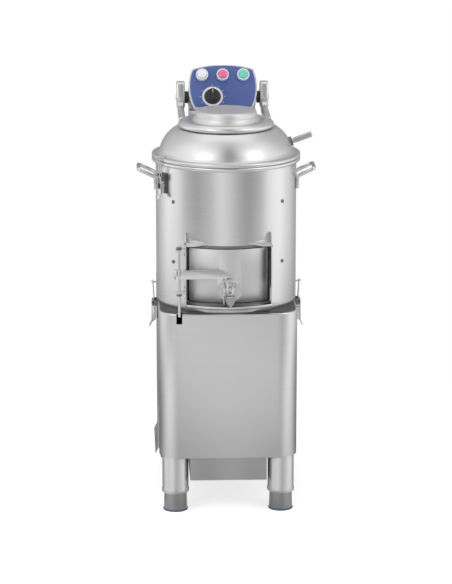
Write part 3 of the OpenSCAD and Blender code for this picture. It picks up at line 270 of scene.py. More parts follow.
def sweptTube(points, radius, sides=20, bend=6, bendSteps=6, matrix=drumAxis, closed=False):
    path = bentPath([Vector(p) for p in points], bend, bendSteps, closed)
    count = len(path)
    tip = 0.6  # rounding of an open end
    side = None
    rings = []
    for i, p in enumerate(path):
        before = path[i - 1] if i or closed else path[0]
        after = path[(i + 1) % count] if closed or i < count - 1 else path[-1]
        way = (after - before).normalized()
        side = way.orthogonal() if side is None else side
        side = (side - way * side.dot(way)).normalized()
        other = way.cross(side)
        stations = [(p, radius)]
        if not closed and i in (0, count - 1):
            out = -way if i == 0 else way
            stations += [(p + out * tip * s, radius - tip * (1 - c)) for s, c in ((0.5, 0.87), (0.87, 0.5), (1, 0))]
        for q, r in stations[::-1] if i == 0 else stations:
            rings.append([matrix @ (q + side * r * math.cos(t) + other * r * math.sin(t))
                for t in (2 * math.pi * k / sides for k in range(sides))])
    return smoothed(tidied(skinned(rings, closed)))


# Node trees

def node(tree, kind, sockets=None, **values):
    n = tree.nodes.new(kind)
    n.location.x = 200 * len(tree.nodes)
    for key, value in values.items():
        setattr(n, key, value)
    feed(tree, n, sockets or {})
    return n


def feed(tree, n, sockets):  # each input, by name or number, gets a value, a socket or a node's first output
    for label, value in sockets.items():
        value = value.outputs[0] if isinstance(value, bpy.types.Node) else value
        if isinstance(value, bpy.types.NodeSocket):
            tree.links.new(value, n.inputs[label])
        else:
            n.inputs[label].default_value = value


def groupOf(kind, name, ins, outs):
    tree = bpy.data.node_groups.new(name, kind)
    for way, sockets in (("INPUT", ins), ("OUTPUT", outs)):
        for label, socketType in sockets.items():
            tree.interface.new_socket(label, in_out=way, socket_type="NodeSocket" + socketType)
    return tree, node(tree, "NodeGroupInput").outputs, node(tree, "NodeGroupOutput")


def mathNode(tree, operation, *values, clamp=False):
    return node(tree, "ShaderNodeMath", dict(enumerate(values)), operation=operation, use_clamp=clamp)


def vectorNode(tree, operation, *values):
    n = node(tree, "ShaderNodeVectorMath", dict(enumerate(values)), operation=operation)
    return n.outputs["Value"] if operation == "LENGTH" else n


def ramp(tree, factor, low, high, start=0.3, stop=0.7):
    return node(tree, "ShaderNodeMapRange", {"Value": factor, "From Min": start, "From Max": stop, "To Min": low,
        "To Max": high})


def blended(tree, factor, low, high):  # between two colours or two nodes' outputs
    return node(tree, "ShaderNodeMix", {"Factor": factor, "A": low, "B": high}, data_type="RGBA").outputs["Result"]


def bump(tree, height, strength, distance):
    return node(tree, "ShaderNodeBump", {"Strength": strength, "Distance": distance, "Height": height})


def grey(value):
    return (value, value, value, 1)


def emptyTree(holder):
    holder.use_nodes = True
    holder.node_tree.nodes.clear()
    return holder.node_tree


# Camera, lights and floor

view = {"distance": 6.121, "height": 1.965, "azimuth": -2.3, "pitch": 13.352, "focalPx": 2570.5, "imageHeight": 584,
    "sensor": 36}


def addCamera():
    v = view
    angle = math.radians(v["azimuth"])
    camera = scene.camera = linked("camera", bpy.data.cameras.new("camera"))
    camera.location = (v["distance"] * math.sin(angle), axisY * mm - v["distance"] * math.cos(angle), v["height"])
    camera.rotation_euler = (math.pi / 2 - math.radians(v["pitch"]), 0, angle)
    camera.data.sensor_width = v["sensor"]
    camera.data.lens = v["focalPx"] / v["imageHeight"] * v["sensor"]


# levels, the heights or distances over which they change, and for each lamp its place, aim, size and power
light = {
    # the level near the feet is painted shade on the floor as seen in reflections
    "sky": 0.68, "level": 1.0, "floor": 0.8, "floorLift": 0.55, "feet": 0.56, "floorHalf": 30,
    "sides": (0.0, 0.3), "top": (0.75, 0.97), "paper": (0.5, 1.3), "feetReach": (0.3, 1.3), "nearReach": (1.9, 2.6),
    "lamps": {"leftSoftbox": ((-1.9, -2.4, 1.7), (0, 0, 0.55), (1.2, 1.8), 9),
              "rightSoftbox": ((2.2, -2.0, 1.9), (0, 0, 0.55), (1.2, 1.8), 9),
              "topSoftbox": ((0, 0.2, 3.0), (0, 0, 0.6), (2.4, 1.6), 6)}}
# soft cards round the object: share of the turn from behind, going by its left, and their brightness
cards = {
    "low": {0.0: 0.2, 0.08: 0.45, 0.14: 0.8, 0.19: 1.25, 0.26: 1.05, 0.31: 0.5, 0.365: 0.26, 0.42: 0.5, 0.465: 0.98,
            0.49: 0.95, 0.515: 0.72, 0.55: 0.5, 0.595: 0.26, 0.65: 0.45, 0.7: 1.1, 0.76: 1.3, 0.82: 0.95, 0.9: 0.5,
            1.0: 0.2},
    "near": {0.0: 0.16, 0.14: 0.2, 0.22: 0.35, 0.28: 0.9, 0.33: 1.25, 0.385: 1.2, 0.425: 0.75, 0.46: 0.62,
             0.485: 0.86, 0.5: 0.94, 0.515: 0.94, 0.53: 0.86, 0.555: 0.64, 0.59: 0.75, 0.63: 1.2, 0.68: 1.2,
             0.73: 0.9, 0.79: 0.35, 0.87: 0.2, 1.0: 0.16},
    "high": {0.0: 0.45, 0.15: 0.75, 0.3: 1.25, 0.44: 1.2, 0.475: 0.55, 0.497: 0.1, 0.525: 0.08, 0.55: 0.55,
             0.58: 1.1, 0.7: 1.15, 0.85: 0.6, 1.0: 0.45}}


def cardValue(tree, vector, stops):  # brightness by the turn of a vector about the upright axis, and its rise
    parts = node(tree, "ShaderNodeSeparateXYZ", {0: vector}).outputs
    front = mathNode(tree, "MULTIPLY", parts["Y"], -1)
    angle = mathNode(tree, "ARCTAN2", parts["X"], front)
    share = mathNode(tree, "MULTIPLY_ADD", angle, 0.5 / math.pi, 0.5)
    colours = node(tree, "ShaderNodeValToRGB", {0: share})
    scale = colours.color_ramp
    scale.interpolation = "EASE"
    while len(scale.elements) > 1:
        scale.elements.remove(scale.elements[-1])
    for i, (position, value) in enumerate(stops.items()):
        stop = scale.elements.new(position) if i else scale.elements[0]
        stop.position = position
        stop.color = grey(value)
    return colours, parts["Z"]


def addWorld():
    scene.world = bpy.data.worlds.new("studio")
    tree = emptyTree(scene.world)
    away = node(tree, "ShaderNodeTexCoord").outputs["Generated"]
    low, rise = cardValue(tree, away, cards["low"])
    high, _ = cardValue(tree, away, cards["high"])
    sides = blended(tree, ramp(tree, rise, 0, 1, *light["sides"]), low, high)
    top = ramp(tree, rise, 0, 1, *light["top"])
    whole = blended(tree, top, sides, grey(light["sky"]))
    back = node(tree, "ShaderNodeBackground", {"Color": whole, "Strength": light["level"]})
    plain = node(tree, "ShaderNodeBackground", {"Color": grey(1)})
    seen = node(tree, "ShaderNodeLightPath").outputs["Is Camera Ray"]
    mix = node(tree, "ShaderNodeMixShader", {0: seen, 1: back, 2: plain})
    node(tree, "ShaderNodeOutputWorld", {0: mix})


def addFloor():  # white paper for the camera, soft cards for the reflections
    half, level = light["floorHalf"], light["level"]
    floor = meshPiece([(-half, -half, 0), (half, -half, 0), (half, half, 0), (-half, half, 0)], [(0, 1, 2, 3)],
        "floor")
    material = bpy.data.materials.new("floorPaint")
    tree = emptyTree(material)
    coords = node(tree, "ShaderNodeTexCoord").outputs["Object"]
    away = vectorNode(tree, "SUBTRACT", coords, at(0, 0, 0))
    reach = vectorNode(tree, "LENGTH", away)
    far, _ = cardValue(tree, away, cards["low"])
    near, _ = cardValue(tree, away, cards["near"])
    shade = blended(tree, ramp(tree, reach, 0, 1, *light["nearReach"]), near, far)
    # the floor seen in reflections is dimmer near the feet: painted shade of the floor under the object
    strength = ramp(tree, reach, light["feet"] * level, level, *light["feetReach"])
    mirrored = node(tree, "ShaderNodeEmission", {"Color": shade, "Strength": strength})
    paint = node(tree, "ShaderNodeBsdfDiffuse", {"Color": grey(light["floor"])})
    lift = node(tree, "ShaderNodeEmission", {"Strength": light["floorLift"]})
    both = node(tree, "ShaderNodeAddShader", {0: paint, 1: lift})
    paper = node(tree, "ShaderNodeEmission")
    fade = ramp(tree, reach, 0, 1, *light["paper"])
    spread = node(tree, "ShaderNodeMixShader", {0: fade, 1: both, 2: paper})
    mirror = node(tree, "ShaderNodeLightPath").outputs["Is Glossy Ray"]
    last = node(tree, "ShaderNodeMixShader", {0: mirror, 1: spread, 2: mirrored})
    node(tree, "ShaderNodeOutputMaterial", {0: last})
    floor.data.materials.append(material)


def addLamp(name, place, aim, size, power):
    lamp = bpy.data.lights.new(name, "AREA")
    lamp.shape = "RECTANGLE"
    lamp.size, lamp.size_y = size
    lamp.energy = power
    obj = linked(name, lamp)
    obj.location = place
    obj.rotation_euler = (Vector(aim) - Vector(place)).to_track_quat("-Z", "Y").to_euler()


addCamera()
addWorld()
addFloor()
for name, lamp in light["lamps"].items():
    addLamp(name, *lamp)

# Finishes


def makeGrain():  # streaks of a brushed sheet, along the level or round an upright axis
    tree, ins, outs = groupOf("ShaderNodeTree", "brushedGrain",
        {"Fineness": "Float", "Length": "Float", "Round": "Float", "Axis": "Vector"},
        {"Grain": "Float", "Cloud": "Float"})
    coords = node(tree, "ShaderNodeTexCoord").outputs["Object"]
    away = vectorNode(tree, "SUBTRACT", coords, ins["Axis"])
    parts = node(tree, "ShaderNodeSeparateXYZ", {0: away}).outputs
    flat = vectorNode(tree, "MULTIPLY", away, (1, 1, 0))
    reach = vectorNode(tree, "LENGTH", flat)
    outward = mathNode(tree, "MULTIPLY", reach, ins["Round"])
    climb = mathNode(tree, "ADD", parts["Z"], outward)
    packed = node(tree, "ShaderNodeCombineXYZ",
        {0: mathNode(tree, "MULTIPLY", parts["X"], ins["Length"]),
        1: mathNode(tree, "MULTIPLY", parts["Y"], ins["Length"]),
        2: mathNode(tree, "MULTIPLY", climb, ins["Fineness"])})
    streaks = node(tree, "ShaderNodeTexNoise", {"Vector": packed, "Scale": 1, "Detail": 3, "Roughness": 0.65})
    cloud = node(tree, "ShaderNodeTexNoise", {"Vector": coords, "Scale": 9, "Detail": 4})
    feed(tree, outs, {"Grain": streaks, "Cloud": cloud})
    return tree


def makeGrit():  # moulded, cast or gritty surfaces
    tree, ins, outs = groupOf("ShaderNodeTree", "surfaceGrit", {"Size": "Float", "Blotch": "Float"},
        {"Grit": "Float", "Blotches": "Float"})
    coords = node(tree, "ShaderNodeTexCoord").outputs["Object"]
    finer = mathNode(tree, "DIVIDE", 1000, ins["Size"])
    grains = node(tree, "ShaderNodeTexVoronoi", {"Vector": coords, "Scale": finer})
    blotch = node(tree, "ShaderNodeTexNoise", {"Vector": coords, "Scale": ins["Blotch"], "Detail": 5})
    feed(tree, outs, {"Grit": grains, "Blotches": blotch})
    return tree


grainGroup = makeGrain()
gritGroup = makeGrit()


def blank(name, group, **values):  # a material with one effect group, and its shader
    material = bpy.data.materials.new(name)
    material.use_nodes = True
    tree = material.node_tree
    shader = tree.nodes["Principled BSDF"]
    return material, tree, shader, node(tree, "ShaderNodeGroup", values, node_tree=group).outputs


surface = {"brushedDepth": 0.0002, "mouldedDepth": 0.0001, "smoother": 0.03, "rougher": 0.04, "uneven": 0.05,
    "blotch": 12}


def between(tree, factor, colour, vary, span=(0.3, 0.7)):  # a colour a little darker and lighter
    low, high = [c * (1 - vary) for c in colour], [min(1, c * (1 + vary)) for c in colour]
    return blended(tree, ramp(tree, factor, 0, 1, *span), (*low, 1), (*high, 1))


def steel(name, shade, rough, grain=0.05, fineness=1600, length=5, around=0, relief=0.08, wear=1.0):
    material, tree, shader, effect = blank(name, grainGroup, Fineness=fineness, Length=length, Round=around,
        Axis=at(0, 0, 0))
    less, more = surface["smoother"] * wear, surface["rougher"] * wear
    cloudy = ramp(tree, effect["Cloud"], -less, less)
    lined = ramp(tree, effect["Grain"], rough - less, rough + more)
    feed(tree, shader,
        {"Base Color": between(tree, effect["Grain"], (shade, shade, shade * 1.005), grain, (0.25, 0.75)),
        "Roughness": mathNode(tree, "ADD", cloudy, lined, clamp=True),
        "Normal": bump(tree, effect["Grain"], relief, surface["brushedDepth"]), "Metallic": 1})
    return material


def moulded(name, colour, rough, size=0.4, relief=0.15, vary=0.08, coat=0):
    material, tree, shader, effect = blank(name, gritGroup, Size=size, Blotch=surface["blotch"])
    feed(tree, shader, {"Base Color": between(tree, effect["Blotches"], colour, vary),
        "Roughness": ramp(tree, effect["Blotches"], rough - surface["uneven"], rough + surface["uneven"]),
        "Normal": bump(tree, effect["Grit"], relief, surface["mouldedDepth"]), "Coat Weight": coat})
    return material


print("finishes")
turnedFinish = {"fineness": 1200, "length": 2, "around": 1, "relief": 0.015, "wear": 0.35}
glossy = {"size": 0.5, "relief": 0.03, "vary": 0.03, "coat": 0.3}
paleGloss = {**glossy, "vary": 0.02}
sheetSteel = steel("sheetSteel", 0.68, 0.34)
drumSteel = steel("drumSteel", 0.70, 0.28, grain=0.006, fineness=1200, length=2, relief=0.006, wear=0.25)
domeSteel = steel("domeSteel", 0.69, 0.33, grain=0.012, **turnedFinish)
crownSteel = steel("crownSteel", 0.67, 0.46, grain=0.02, **turnedFinish)
brightSteel = steel("brightSteel", 0.66, 0.2, grain=0.03, fineness=500, length=60, relief=0.03, wear=0.5)
doorSteel = steel("doorSteel", 0.66, 0.46, grain=0.02, fineness=1200, length=3, relief=0.015, wear=0.4)
tankSteel = steel("tankSteel", 0.6, 0.4)
darkSteel = steel("darkSteel", 0.2, 0.4, grain=0.08, fineness=900, length=8, relief=0.06)
# a very dark steel for the stand's top plate: painted shade in the recess under the drum
paintedShadePlateSteel = steel("paintedShadePlateSteel", 0.13, 0.42)
trayShade = steel("trayShade", 0.11, 0.48)
footSteel = steel("footSteel", 0.36, 0.38, grain=0.03, fineness=700, length=40, relief=0.03)
castAlloy = steel("castAlloy", 0.52, 0.34, grain=0.03, fineness=700, length=20, relief=0.05)
gritLining = moulded("gritLining", (0.16, 0.155, 0.15), 0.85, size=1.6, relief=1.0, vary=0.35)
panelBlue = moulded("panelBlue", (0.062, 0.105, 0.32), 0.42, size=0.25, relief=0.05, vary=0.03, coat=0.15)
panelBorder = moulded("panelBorder", (0.5, 0.55, 0.66), 0.4, size=0.25, relief=0.05, vary=0.02)
blackPlastic = moulded("blackPlastic", (0.022, 0.021, 0.02), 0.42, size=0.35, relief=0.12)
palePlastic = moulded("palePlastic", (0.80, 0.81, 0.86), 0.28, **paleGloss)
whiteCap = moulded("whiteCap", (0.86, 0.86, 0.88), 0.25, **paleGloss)
redCap = moulded("redCap", (0.80, 0.17, 0.36), 0.25, **glossy)
greenCap = moulded("greenCap", (0.16, 0.66, 0.50), 0.25, **glossy)
knobGrey = moulded("knobGrey", (0.27, 0.27, 0.265), 0.4, size=0.4, relief=0.08, vary=0.06, coat=0.2)
footBlue = moulded("footBlue", (0.05, 0.08, 0.17), 0.55, size=0.5, relief=0.12)
rubber = moulded("rubber", (0.02, 0.02, 0.022), 0.7, size=0.6, relief=0.2)
enamel = moulded("enamel", (0.06, 0.10, 0.16), 0.4, size=1.0, relief=0.3, coat=0.2)

# Repeated small pieces: one unit shape put at every vertex of a set of points


def realized(tree, made, ins, outs):  # the end of each tree: plain mesh with its finish
    real = node(tree, "GeometryNodeRealizeInstances", {0: made})
    paint = node(tree, "GeometryNodeSetMaterial", {"Geometry": real, "Material": ins["Finish"]})
    feed(tree, outs, {0: paint})
    return tree


def makeRepeater():
    tree, ins, outs = groupOf("GeometryNodeTree", "repeater",
        {"Points": "Geometry", "Unit": "Object", "Outward": "Float", "Axis": "Vector", "Spin": "Float",
        "Finish": "Material"}, {"Pieces": "Geometry"})
    info = node(tree, "GeometryNodeObjectInfo", {"Object": ins["Unit"]})
    place = node(tree, "GeometryNodeInputPosition")
    away = vectorNode(tree, "SUBTRACT", place, ins["Axis"])
    flat = vectorNode(tree, "MULTIPLY", away, (1, 1, 0))
    aim = node(tree, "FunctionNodeAlignRotationToVector", {"Vector": flat, "Factor": ins["Outward"]}, axis="Z")
    chance = node(tree, "FunctionNodeRandomValue", {3: ins["Spin"], "Seed": 7}, data_type="FLOAT")
    spun = node(tree, "FunctionNodeAxisAngleToRotation", {"Axis": (0, 0, 1), "Angle": chance.outputs[1]})
    turned = node(tree, "FunctionNodeRotateRotation", {0: aim, 1: spun}, rotation_space="LOCAL")
    put = node(tree, "GeometryNodeInstanceOnPoints", {"Points": ins["Points"], "Instance": info.outputs["Geometry"],
        "Rotation": turned})
    return realized(tree, put, ins, outs)


def makeCoil():
    tree, ins, outs = groupOf("GeometryNodeTree", "coil",
        {"Curls": "Float", "Radius": "Float", "Length": "Float", "Wire": "Float", "Finish": "Material"},
        {"Coil": "Geometry"})
    spiral = node(tree, "GeometryNodeCurveSpiral",
        {"Resolution": 24, "Rotations": ins["Curls"], "Start Radius": ins["Radius"], "End Radius": ins["Radius"],
        "Height": ins["Length"]})
    section = node(tree, "GeometryNodeCurvePrimitiveCircle", {"Resolution": 10, "Radius": ins["Wire"]})
    swept = node(tree, "GeometryNodeCurveToMesh", {"Curve": spiral, "Profile Curve": section, "Fill Caps": True})
    return realized(tree, swept, ins, outs)


repeater = makeRepeater()
coil = makeCoil()


def grown(points, group, values):  # runs a node group on a set of points and keeps plain mesh
    obj = meshPiece(points, [])
    modifier = obj.modifiers.new("grow", "NODES")
    modifier.node_group = group
    identifiers = {item.name: item.identifier for item in group.interface.items_tree if item.in_out == "INPUT"}
    for label, value in values.items():
        modifier[identifiers[label]] = value
    obj.update_tag()
    return smoothed(tidied(bakeDown(obj), merge=1e-7))


def repeated(points, unit, material, outward=0.0, spin=0.0):
    obj = grown(points, repeater, {"Unit": unit, "Outward": outward, "Axis": tuple(at(0, 0, 0)), "Spin": spin,
        "Finish": material})
    bpy.data.objects.remove(unit)
    return obj


def screwHead(radius=4.5, height=2.5):  # domed head with a cross recess, its seat at z = 0
    head = revolved(rounded([(0, 0), (radius, 0, 0.3), (radius, height * 0.4, 0.8),
        (radius * 0.55, height * 0.95, 2), (0, height)], 4), unitScale, 32)
    reach, narrow = radius * 1.15, 0.9
    for length, width in ((reach, narrow), (narrow, reach)):
        x, y = length * mm / 2, width * mm / 2
        cutWith(head, (-x, -y, height * 0.5 * mm), (x, y, (height + 1) * mm))
    return head


# Stand

print("stand")
stand = {"halfWidth": 167, "front": 165, "rear": 350, "corner": 50, "low": 138, "top": 498, "wall": 2,
    "edgeRadius": 3.5, "flange": 10, "drawerY": (-94, 122), "drawerZ": (151.7, 245), "notchX": (-125, -111),
    "notchDeep": 25, "cornerSteps": 12}


def standOutline(inset):
    s = stand
    radius = s["corner"] - inset
    side, front, rear = s["halfWidth"] - s["corner"], s["corner"] - s["front"], s["rear"] - s["corner"]
    corners = [((side, rear), 0), ((-side, rear), 90), ((-side, front), 180), ((side, front), 270)]
    return [p for centre, start in corners for p in arcPoints(centre, radius, start, start + 90, s["cornerSteps"])]


def makeStandShell():
    s = stand
    t, edge, top, low, side = s["wall"], s["edgeRadius"], s["top"], s["low"], s["halfWidth"]
    profile = rounded([(0, low, 0.8), (0, top, edge), (s["flange"], top, 0.6), (s["flange"], top - t, 0.6),
        (t, top - t, 2), (t, low, 0.8)])
    shell = tidied(skinned([[at(x, y, z) for x, y in standOutline(inset)] for inset, z in profile]))
    (y0, y1), (z0, z1), (x0, x1) = s["drawerY"], s["drawerZ"], s["notchX"]
    cutWith(shell, at(-side - 1, y0, z0), at(-side + t + 1, y1, z1))
    cutWith(shell, at(x0, -s["front"] - 1, top - s["notchDeep"]), at(x1, -s["front"] + 10, top + 1))
    finished("stand_shell", shell, sheetSteel)


makeStandShell()
# the top plate gets the dark steel that paints the shade under the drum
cadShapes(paintedShadePlateSteel, 0.5, "stand_top_plate")
cadShapes(tankSteel, 0.5, "filter_tank")
cadShapes(sheetSteel, 0.5, "legs", "drawer_front")

foot = {"radius": 30, "pad": 4, "shoulder": 28.5, "top": 27, "height": 46, "stem": 6, "stemTop": 86}


def makeFoot(name):
    f = foot
    low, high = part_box(name)
    matrix = shift((low.x + high.x) / 2, (low.y + high.y) / 2, 0) @ unitScale
    pad = revolved(rounded([(0, 0), (f["radius"], 0, 1), (f["radius"], f["pad"], 1), (0, f["pad"])], 4), matrix, 64)
    added(name + "_pad", pad, footBlue, name)
    cone = [(0, f["pad"]), (f["shoulder"], f["pad"]), (f["shoulder"], f["pad"] + 2, 0.8),
        (f["top"], f["height"], 1.2), (f["stem"], f["height"]), (f["stem"], f["stemTop"], 0.5), (0, f["stemTop"])]
    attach(dressed(name + "_cone", revolved(rounded(cone, 4), matrix, 64), footSteel, [name]), name)


for name in ("foot_front_left", "foot_front_right", "foot_rear_left", "foot_rear_right"):
    makeFoot(name)

# Toggles: x outwards, y along the surface, heights from the lever's pivot

print("filter and clamps")
cadShapes(brightSteel, 0.3, "filter_basket")
toggle = {"width": 30, "plate": 2, "plateTop": 10, "rivets": (5, 13), "pivotOut": 11, "pivotR": 2.5, "linkOut": 8.5,
    "linkDown": 14, "linkR": 2, "earOut": 15, "earY": 10, "ear": 2, "earHalf": 8, "leverY": 7.5, "side": 2,
    "in": 4.5, "out": 15.5, "up": 4, "webFrom": 27, "kick": 6, "kickH": 12, "loopR": 1.6, "loopY": 4.6,
    "loopBend": 3.2}


def toggleFrame(angle, surface=0, height=0):
    return drumAxis @ turn(angle, "Z") @ shift(surface, 0, height)


def crossPin(place, x, z, radius, half):
    profile = rounded([(0, -half), (radius, -half, 0.6), (radius, half, 0.6), (0, half)], 3)
    return revolved(profile, place @ shift(x, 0, z) @ sideways, 24)


def toggleBase(place, low):
    t = toggle
    half, ear, earOut = t["width"] / 2, t["earHalf"], t["earOut"]
    plate = rounded([(-half, -low, 4), (half, -low, 4), (half, t["plateTop"], 3), (-half, t["plateTop"], 3)], 4)
    sides = rounded([(0.4, -ear, 1), (earOut, -ear, 5), (earOut, ear, 5), (0.4, ear, 1)], 5)
    rivet = rounded([(0, 2), (3.2, 2, 0.2), (3.0, 3.2, 1), (0, 3.6)], 3)
    pieces = [revolved(rivet, place @ shift(0, 0, z - low) @ facing, 24) for z in t["rivets"]]
    pieces.append(slab(plate, 0.2, 0.2 + t["plate"], place @ facing))
    return pieces + bothSides(sides, t["earY"], t["ear"], place @ sideways, 0.3)


def toggleLever(place, low):
    t = toggle
    out, kicked, end = t["out"], t["out"] + t["kick"], -low - t["kickH"]
    side = rounded([(t["in"], 6 - low, 3), (t["in"], t["up"], 3.4), (out, t["up"], 4), (out, -low, 0.5),
        (out - 3, -low, 1)], 5)
    bend = rounded([(out - 2, -t["webFrom"]), (out, -t["webFrom"]), (out, -low, 3), (kicked, end),
        (kicked - 2, end), (out - 2, -low - 0.6, 3)], 5)
    reach = t["leverY"] + t["side"]
    pieces = bothSides(side, t["leverY"], t["side"], place @ sideways, 0.35)
    pieces.append(slab(bend, -reach, reach, place @ sideways, 0.5))
    return pieces + [crossPin(place, t["pivotOut"], 0, t["pivotR"], t["earY"] + t["ear"])]


def toggleLoop(place, length, tilt):
    t = toggle
    y = t["loopY"]
    way = [(0, -y, 0), (0, -y, length), (0, y, length), (0, y, 0)]
    leaning = place @ shift(t["linkOut"], 0, -t["linkDown"]) @ turn(tilt, "Y")
    wire = sweptTube(way, t["loopR"], 16, t["loopBend"], 6, leaning)
    return [wire, crossPin(place, t["linkOut"], -t["linkDown"], t["linkR"], t["leverY"] + t["side"])]


def hook(place, start, bar, height):  # bent tab: the bar of a loop lies on it, inside its lip
    lip, reach, tall, thick = 2.1, 2, 5, 3
    inner, outer = bar + lip, bar + lip + reach
    outline = rounded([(start, height), (outer, height, 1), (outer, height + tall, 0.9),
        (inner, height + tall, 0.9), (inner, height + thick, 0.8), (start, height + thick)], 4)
    return slab(outline, -2.6, 2.6, place @ sideways)


clamps = {"base": "clamp_bases", "lever": "clamp_lever", "loop": "clamp_loop", "baseLow": 40, "leverLow": 48,
    "length": 67.17, "tilt": 2.56, "places": {"_left": (180, 167, 490), "_right": (0, 167, 490)}}
latch = {"base": "latch_base", "lever": "latch_lever", "loop": "latch_loop", "baseLow": 39, "leverLow": 39,
    "length": 65.74, "tilt": 5.85, "places": {"": (208, 170, 815)}}


def makeToggles(kind):
    places = {side: toggleFrame(*where) for side, where in kind["places"].items()}
    finished(kind["base"], [p for place in places.values() for p in toggleBase(place, kind["baseLow"])], darkSteel)
    for side, place in places.items():
        finished(kind["lever"] + side, toggleLever(place, kind["leverLow"]), brightSteel)
        finished(kind["loop"] + side, toggleLoop(place, kind["length"], kind["tilt"]), brightSteel)


makeToggles(clamps)
makeToggles(latch)

# Drum

print("drum")
drum = {"radius": 170, "wall": 1.5, "low": 512, "top": 843, "opening": (100.5, 524, 664), "seamTurn": 97,
    "hookBar": 178.5, "hookZ": 538, "ring": (162, 179.5, 843, 852), "screwTurns": (-50, 50, 130, 230),
    "screwHeights": (614, 760), "screwSeat": 170.2, "steps": 224}


def makeCasing():
    d = drum
    r, t, low, top = d["radius"], d["wall"], d["low"], d["top"]
    half, openLow, openTop = d["opening"]
    wall = revolved([(r - t, low), (r, low), (r, top), (r - t, top)], steps=d["steps"])
    cutWith(wall, at(-half, -2 * r, openLow), at(half, -r / 2, openTop))
    hooks = [hook(toggleFrame(angle), r - 0.8, d["hookBar"], d["hookZ"]) for angle in (0, 180)]
    bead = rounded([(0, low + 1), (1.1, low + 1, 0.4), (1.1, top - 1, 0.4), (0, top - 1)], 2)
    finished("drum_casing", [wall, revolved(bead, toggleFrame(d["seamTurn"], r - 0.75), 12)] + hooks, drumSteel)


def makeLinerScrews():
    d = drum
    points = [at(*onCircle(d["screwSeat"], a - 90), z) for a in d["screwTurns"] for z in d["screwHeights"]]
    shank = revolved([(0, -7), (2.5, -7), (2.5, 0), (0, 0)], unitScale, 20)
    heads = repeated(points, screwHead(), darkSteel, 1.0, 3.0)
    finished("liner_screws", [heads, repeated(points, shank, darkSteel, 1.0)], darkSteel)


def makeRimRing():
    inner, outer, low, top = drum["ring"]
    ring = rounded([(inner, low, 1.5), (outer, low, 3.2), (outer, top, 3.2), (inner, top, 1.5)])
    finished("rim_ring", revolved(ring, steps=drum["steps"]), drumSteel)


makeCasing()
cadShapes(castAlloy, 0.8, "base_plate")
cadShapes(drumSteel, 0.5, "drum_pan")
cadShapes(gritLining, 0.6, "abrasive_liner")
makeLinerScrews()
makeRimRing()
cadShapes(castAlloy, 0.6, "bearing_housing", "driven_pulley", "motor_pulley")
cadShapes(brightSteel, 0.5, "shaft_bearings", "drive_shaft", "motor_shaft")
cadShapes(gritLining, 0.8, "peeling_plate")
cadShapes(rubber, 0, "drive_belt")
cadShapes(enamel, 2, "motor")
sideHandle = {"footX": 170.97, "y": 35, "low": 777, "bend": 806, "tipX": 212.1, "tipZ": 826, "radius": 4.2}


def sideHandlePiece(s):
    h = sideHandle
    half = [(h["footX"], h["low"]), (h["footX"], h["bend"]), (h["tipX"], h["tipZ"])]
    way = [(s * x, -h["y"], z) for x, z in half] + [(s * x, h["y"], z) for x, z in half[::-1]]
    return sweptTube(way, h["radius"], 24, 9, 8)


finished("side_handles", [sideHandlePiece(-1), sideHandlePiece(1)], brightSteel)

# Column and controls

print("column and controls")
cadShapes(sheetSteel, 0.6, "rear_column")
cadShapes(sheetSteel, 0.4, "rear_cover")
cadShapes(sheetSteel, 1.4, "control_housing", segments=3)
cadShapes(blackPlastic, 0.4, "cable_gland")
cadShapes(blackPlastic, 0.6, "timer_body")
cover = {"louvres": 8, "width": 94, "first": 780, "pitch": 14, "depth": 4.2, "height": 7.6, "louvreY": 351.45,
    "screwX": (-74, 74), "screwY": 351.5, "screwZ": (532, 660, 800, 912)}


def louvreHood():  # an awning over one slot, its foot at the origin, opening downwards
    w, d, top = cover["width"] / 2, cover["depth"], cover["height"]
    section = [(0, top), (0.5, 7.4), (d * 0.55, 6.2), (d * 0.9, 4.2), (d, 2.2), (d - 0.7, 2.2), (d * 0.8, 3.8),
        (d * 0.45, 5.4), (0, 6.4)]
    stations = [(-w, 0.0), (-w + 1.2, 0.45), (-w + 3.5, 0.85), (-w + 7, 1)]
    stations += [(-x, swell) for x, swell in stations[::-1]]
    rings = [[Vector((x, y * swell, top - (top - z) * (0.4 + 0.6 * swell))) * mm for y, z in section]
        for x, swell in stations]
    return bakeDown(tidied(skinned(rings, wrap=False), merge=1e-7))


points = [at(0, cover["louvreY"], cover["first"] - i * cover["pitch"]) for i in range(cover["louvres"])]
added("louvre_hoods", repeated(points, louvreHood(), sheetSteel), sheetSteel)
points = [at(x, cover["screwY"], z) for x in cover["screwX"] for z in cover["screwZ"]]
rearScrew = placed(screwHead(3.6, 2), turn(-90, "X"))
added("cover_screws", repeated(points, rearScrew, brightSteel), brightSteel)

panel = {"y": 167.2, "z": 940.7, "tilt": 30, "height": 112, "sideRadius": 130, "half": 82.5, "middle": 54.88,
    "topRadius": 243.5, "thick": 2.5, "border": 1.2}
panelFrame = Matrix.Translation(at(0, panel["y"], panel["z"])) @ turn(90 - panel["tilt"], "X") @ unitScale


def panelOutline(grow, low=6, high=10):  # sides and top of wide arcs, with the rounding of the low and high corners
    p = panel
    side, top = p["sideRadius"] + grow, p["topRadius"] + grow
    off, centre = p["sideRadius"] - p["half"], p["height"] - p["topRadius"]

    def halfAt(v):
        return math.sqrt(side ** 2 - (v - p["middle"]) ** 2) - off

    v = p["height"]
    for _ in range(40):  # settles on the height where the arcs of side and top meet
        v = centre + math.sqrt(top ** 2 - halfAt(v) ** 2)
    steps, archSteps = 18, 16
    right = [(halfAt(w), w) for w in (-grow + (v + grow) * k / steps for k in range(steps + 1))]
    span = math.asin(right[-1][0] / top)
    arch = [(top * math.sin(a), centre + top * math.cos(a))
        for a in (span * (1 - 2 * k / archSteps) for k in range(2, archSteps - 1))]
    left = [(-x, w) for x, w in right[::-1]]
    return rounded([(*right[0], low)] + right[2:-2] + [(*right[-1], high)] + arch + [(*left[0], high)] + left[2:-2]
        + [(*left[-1], low)], 6)


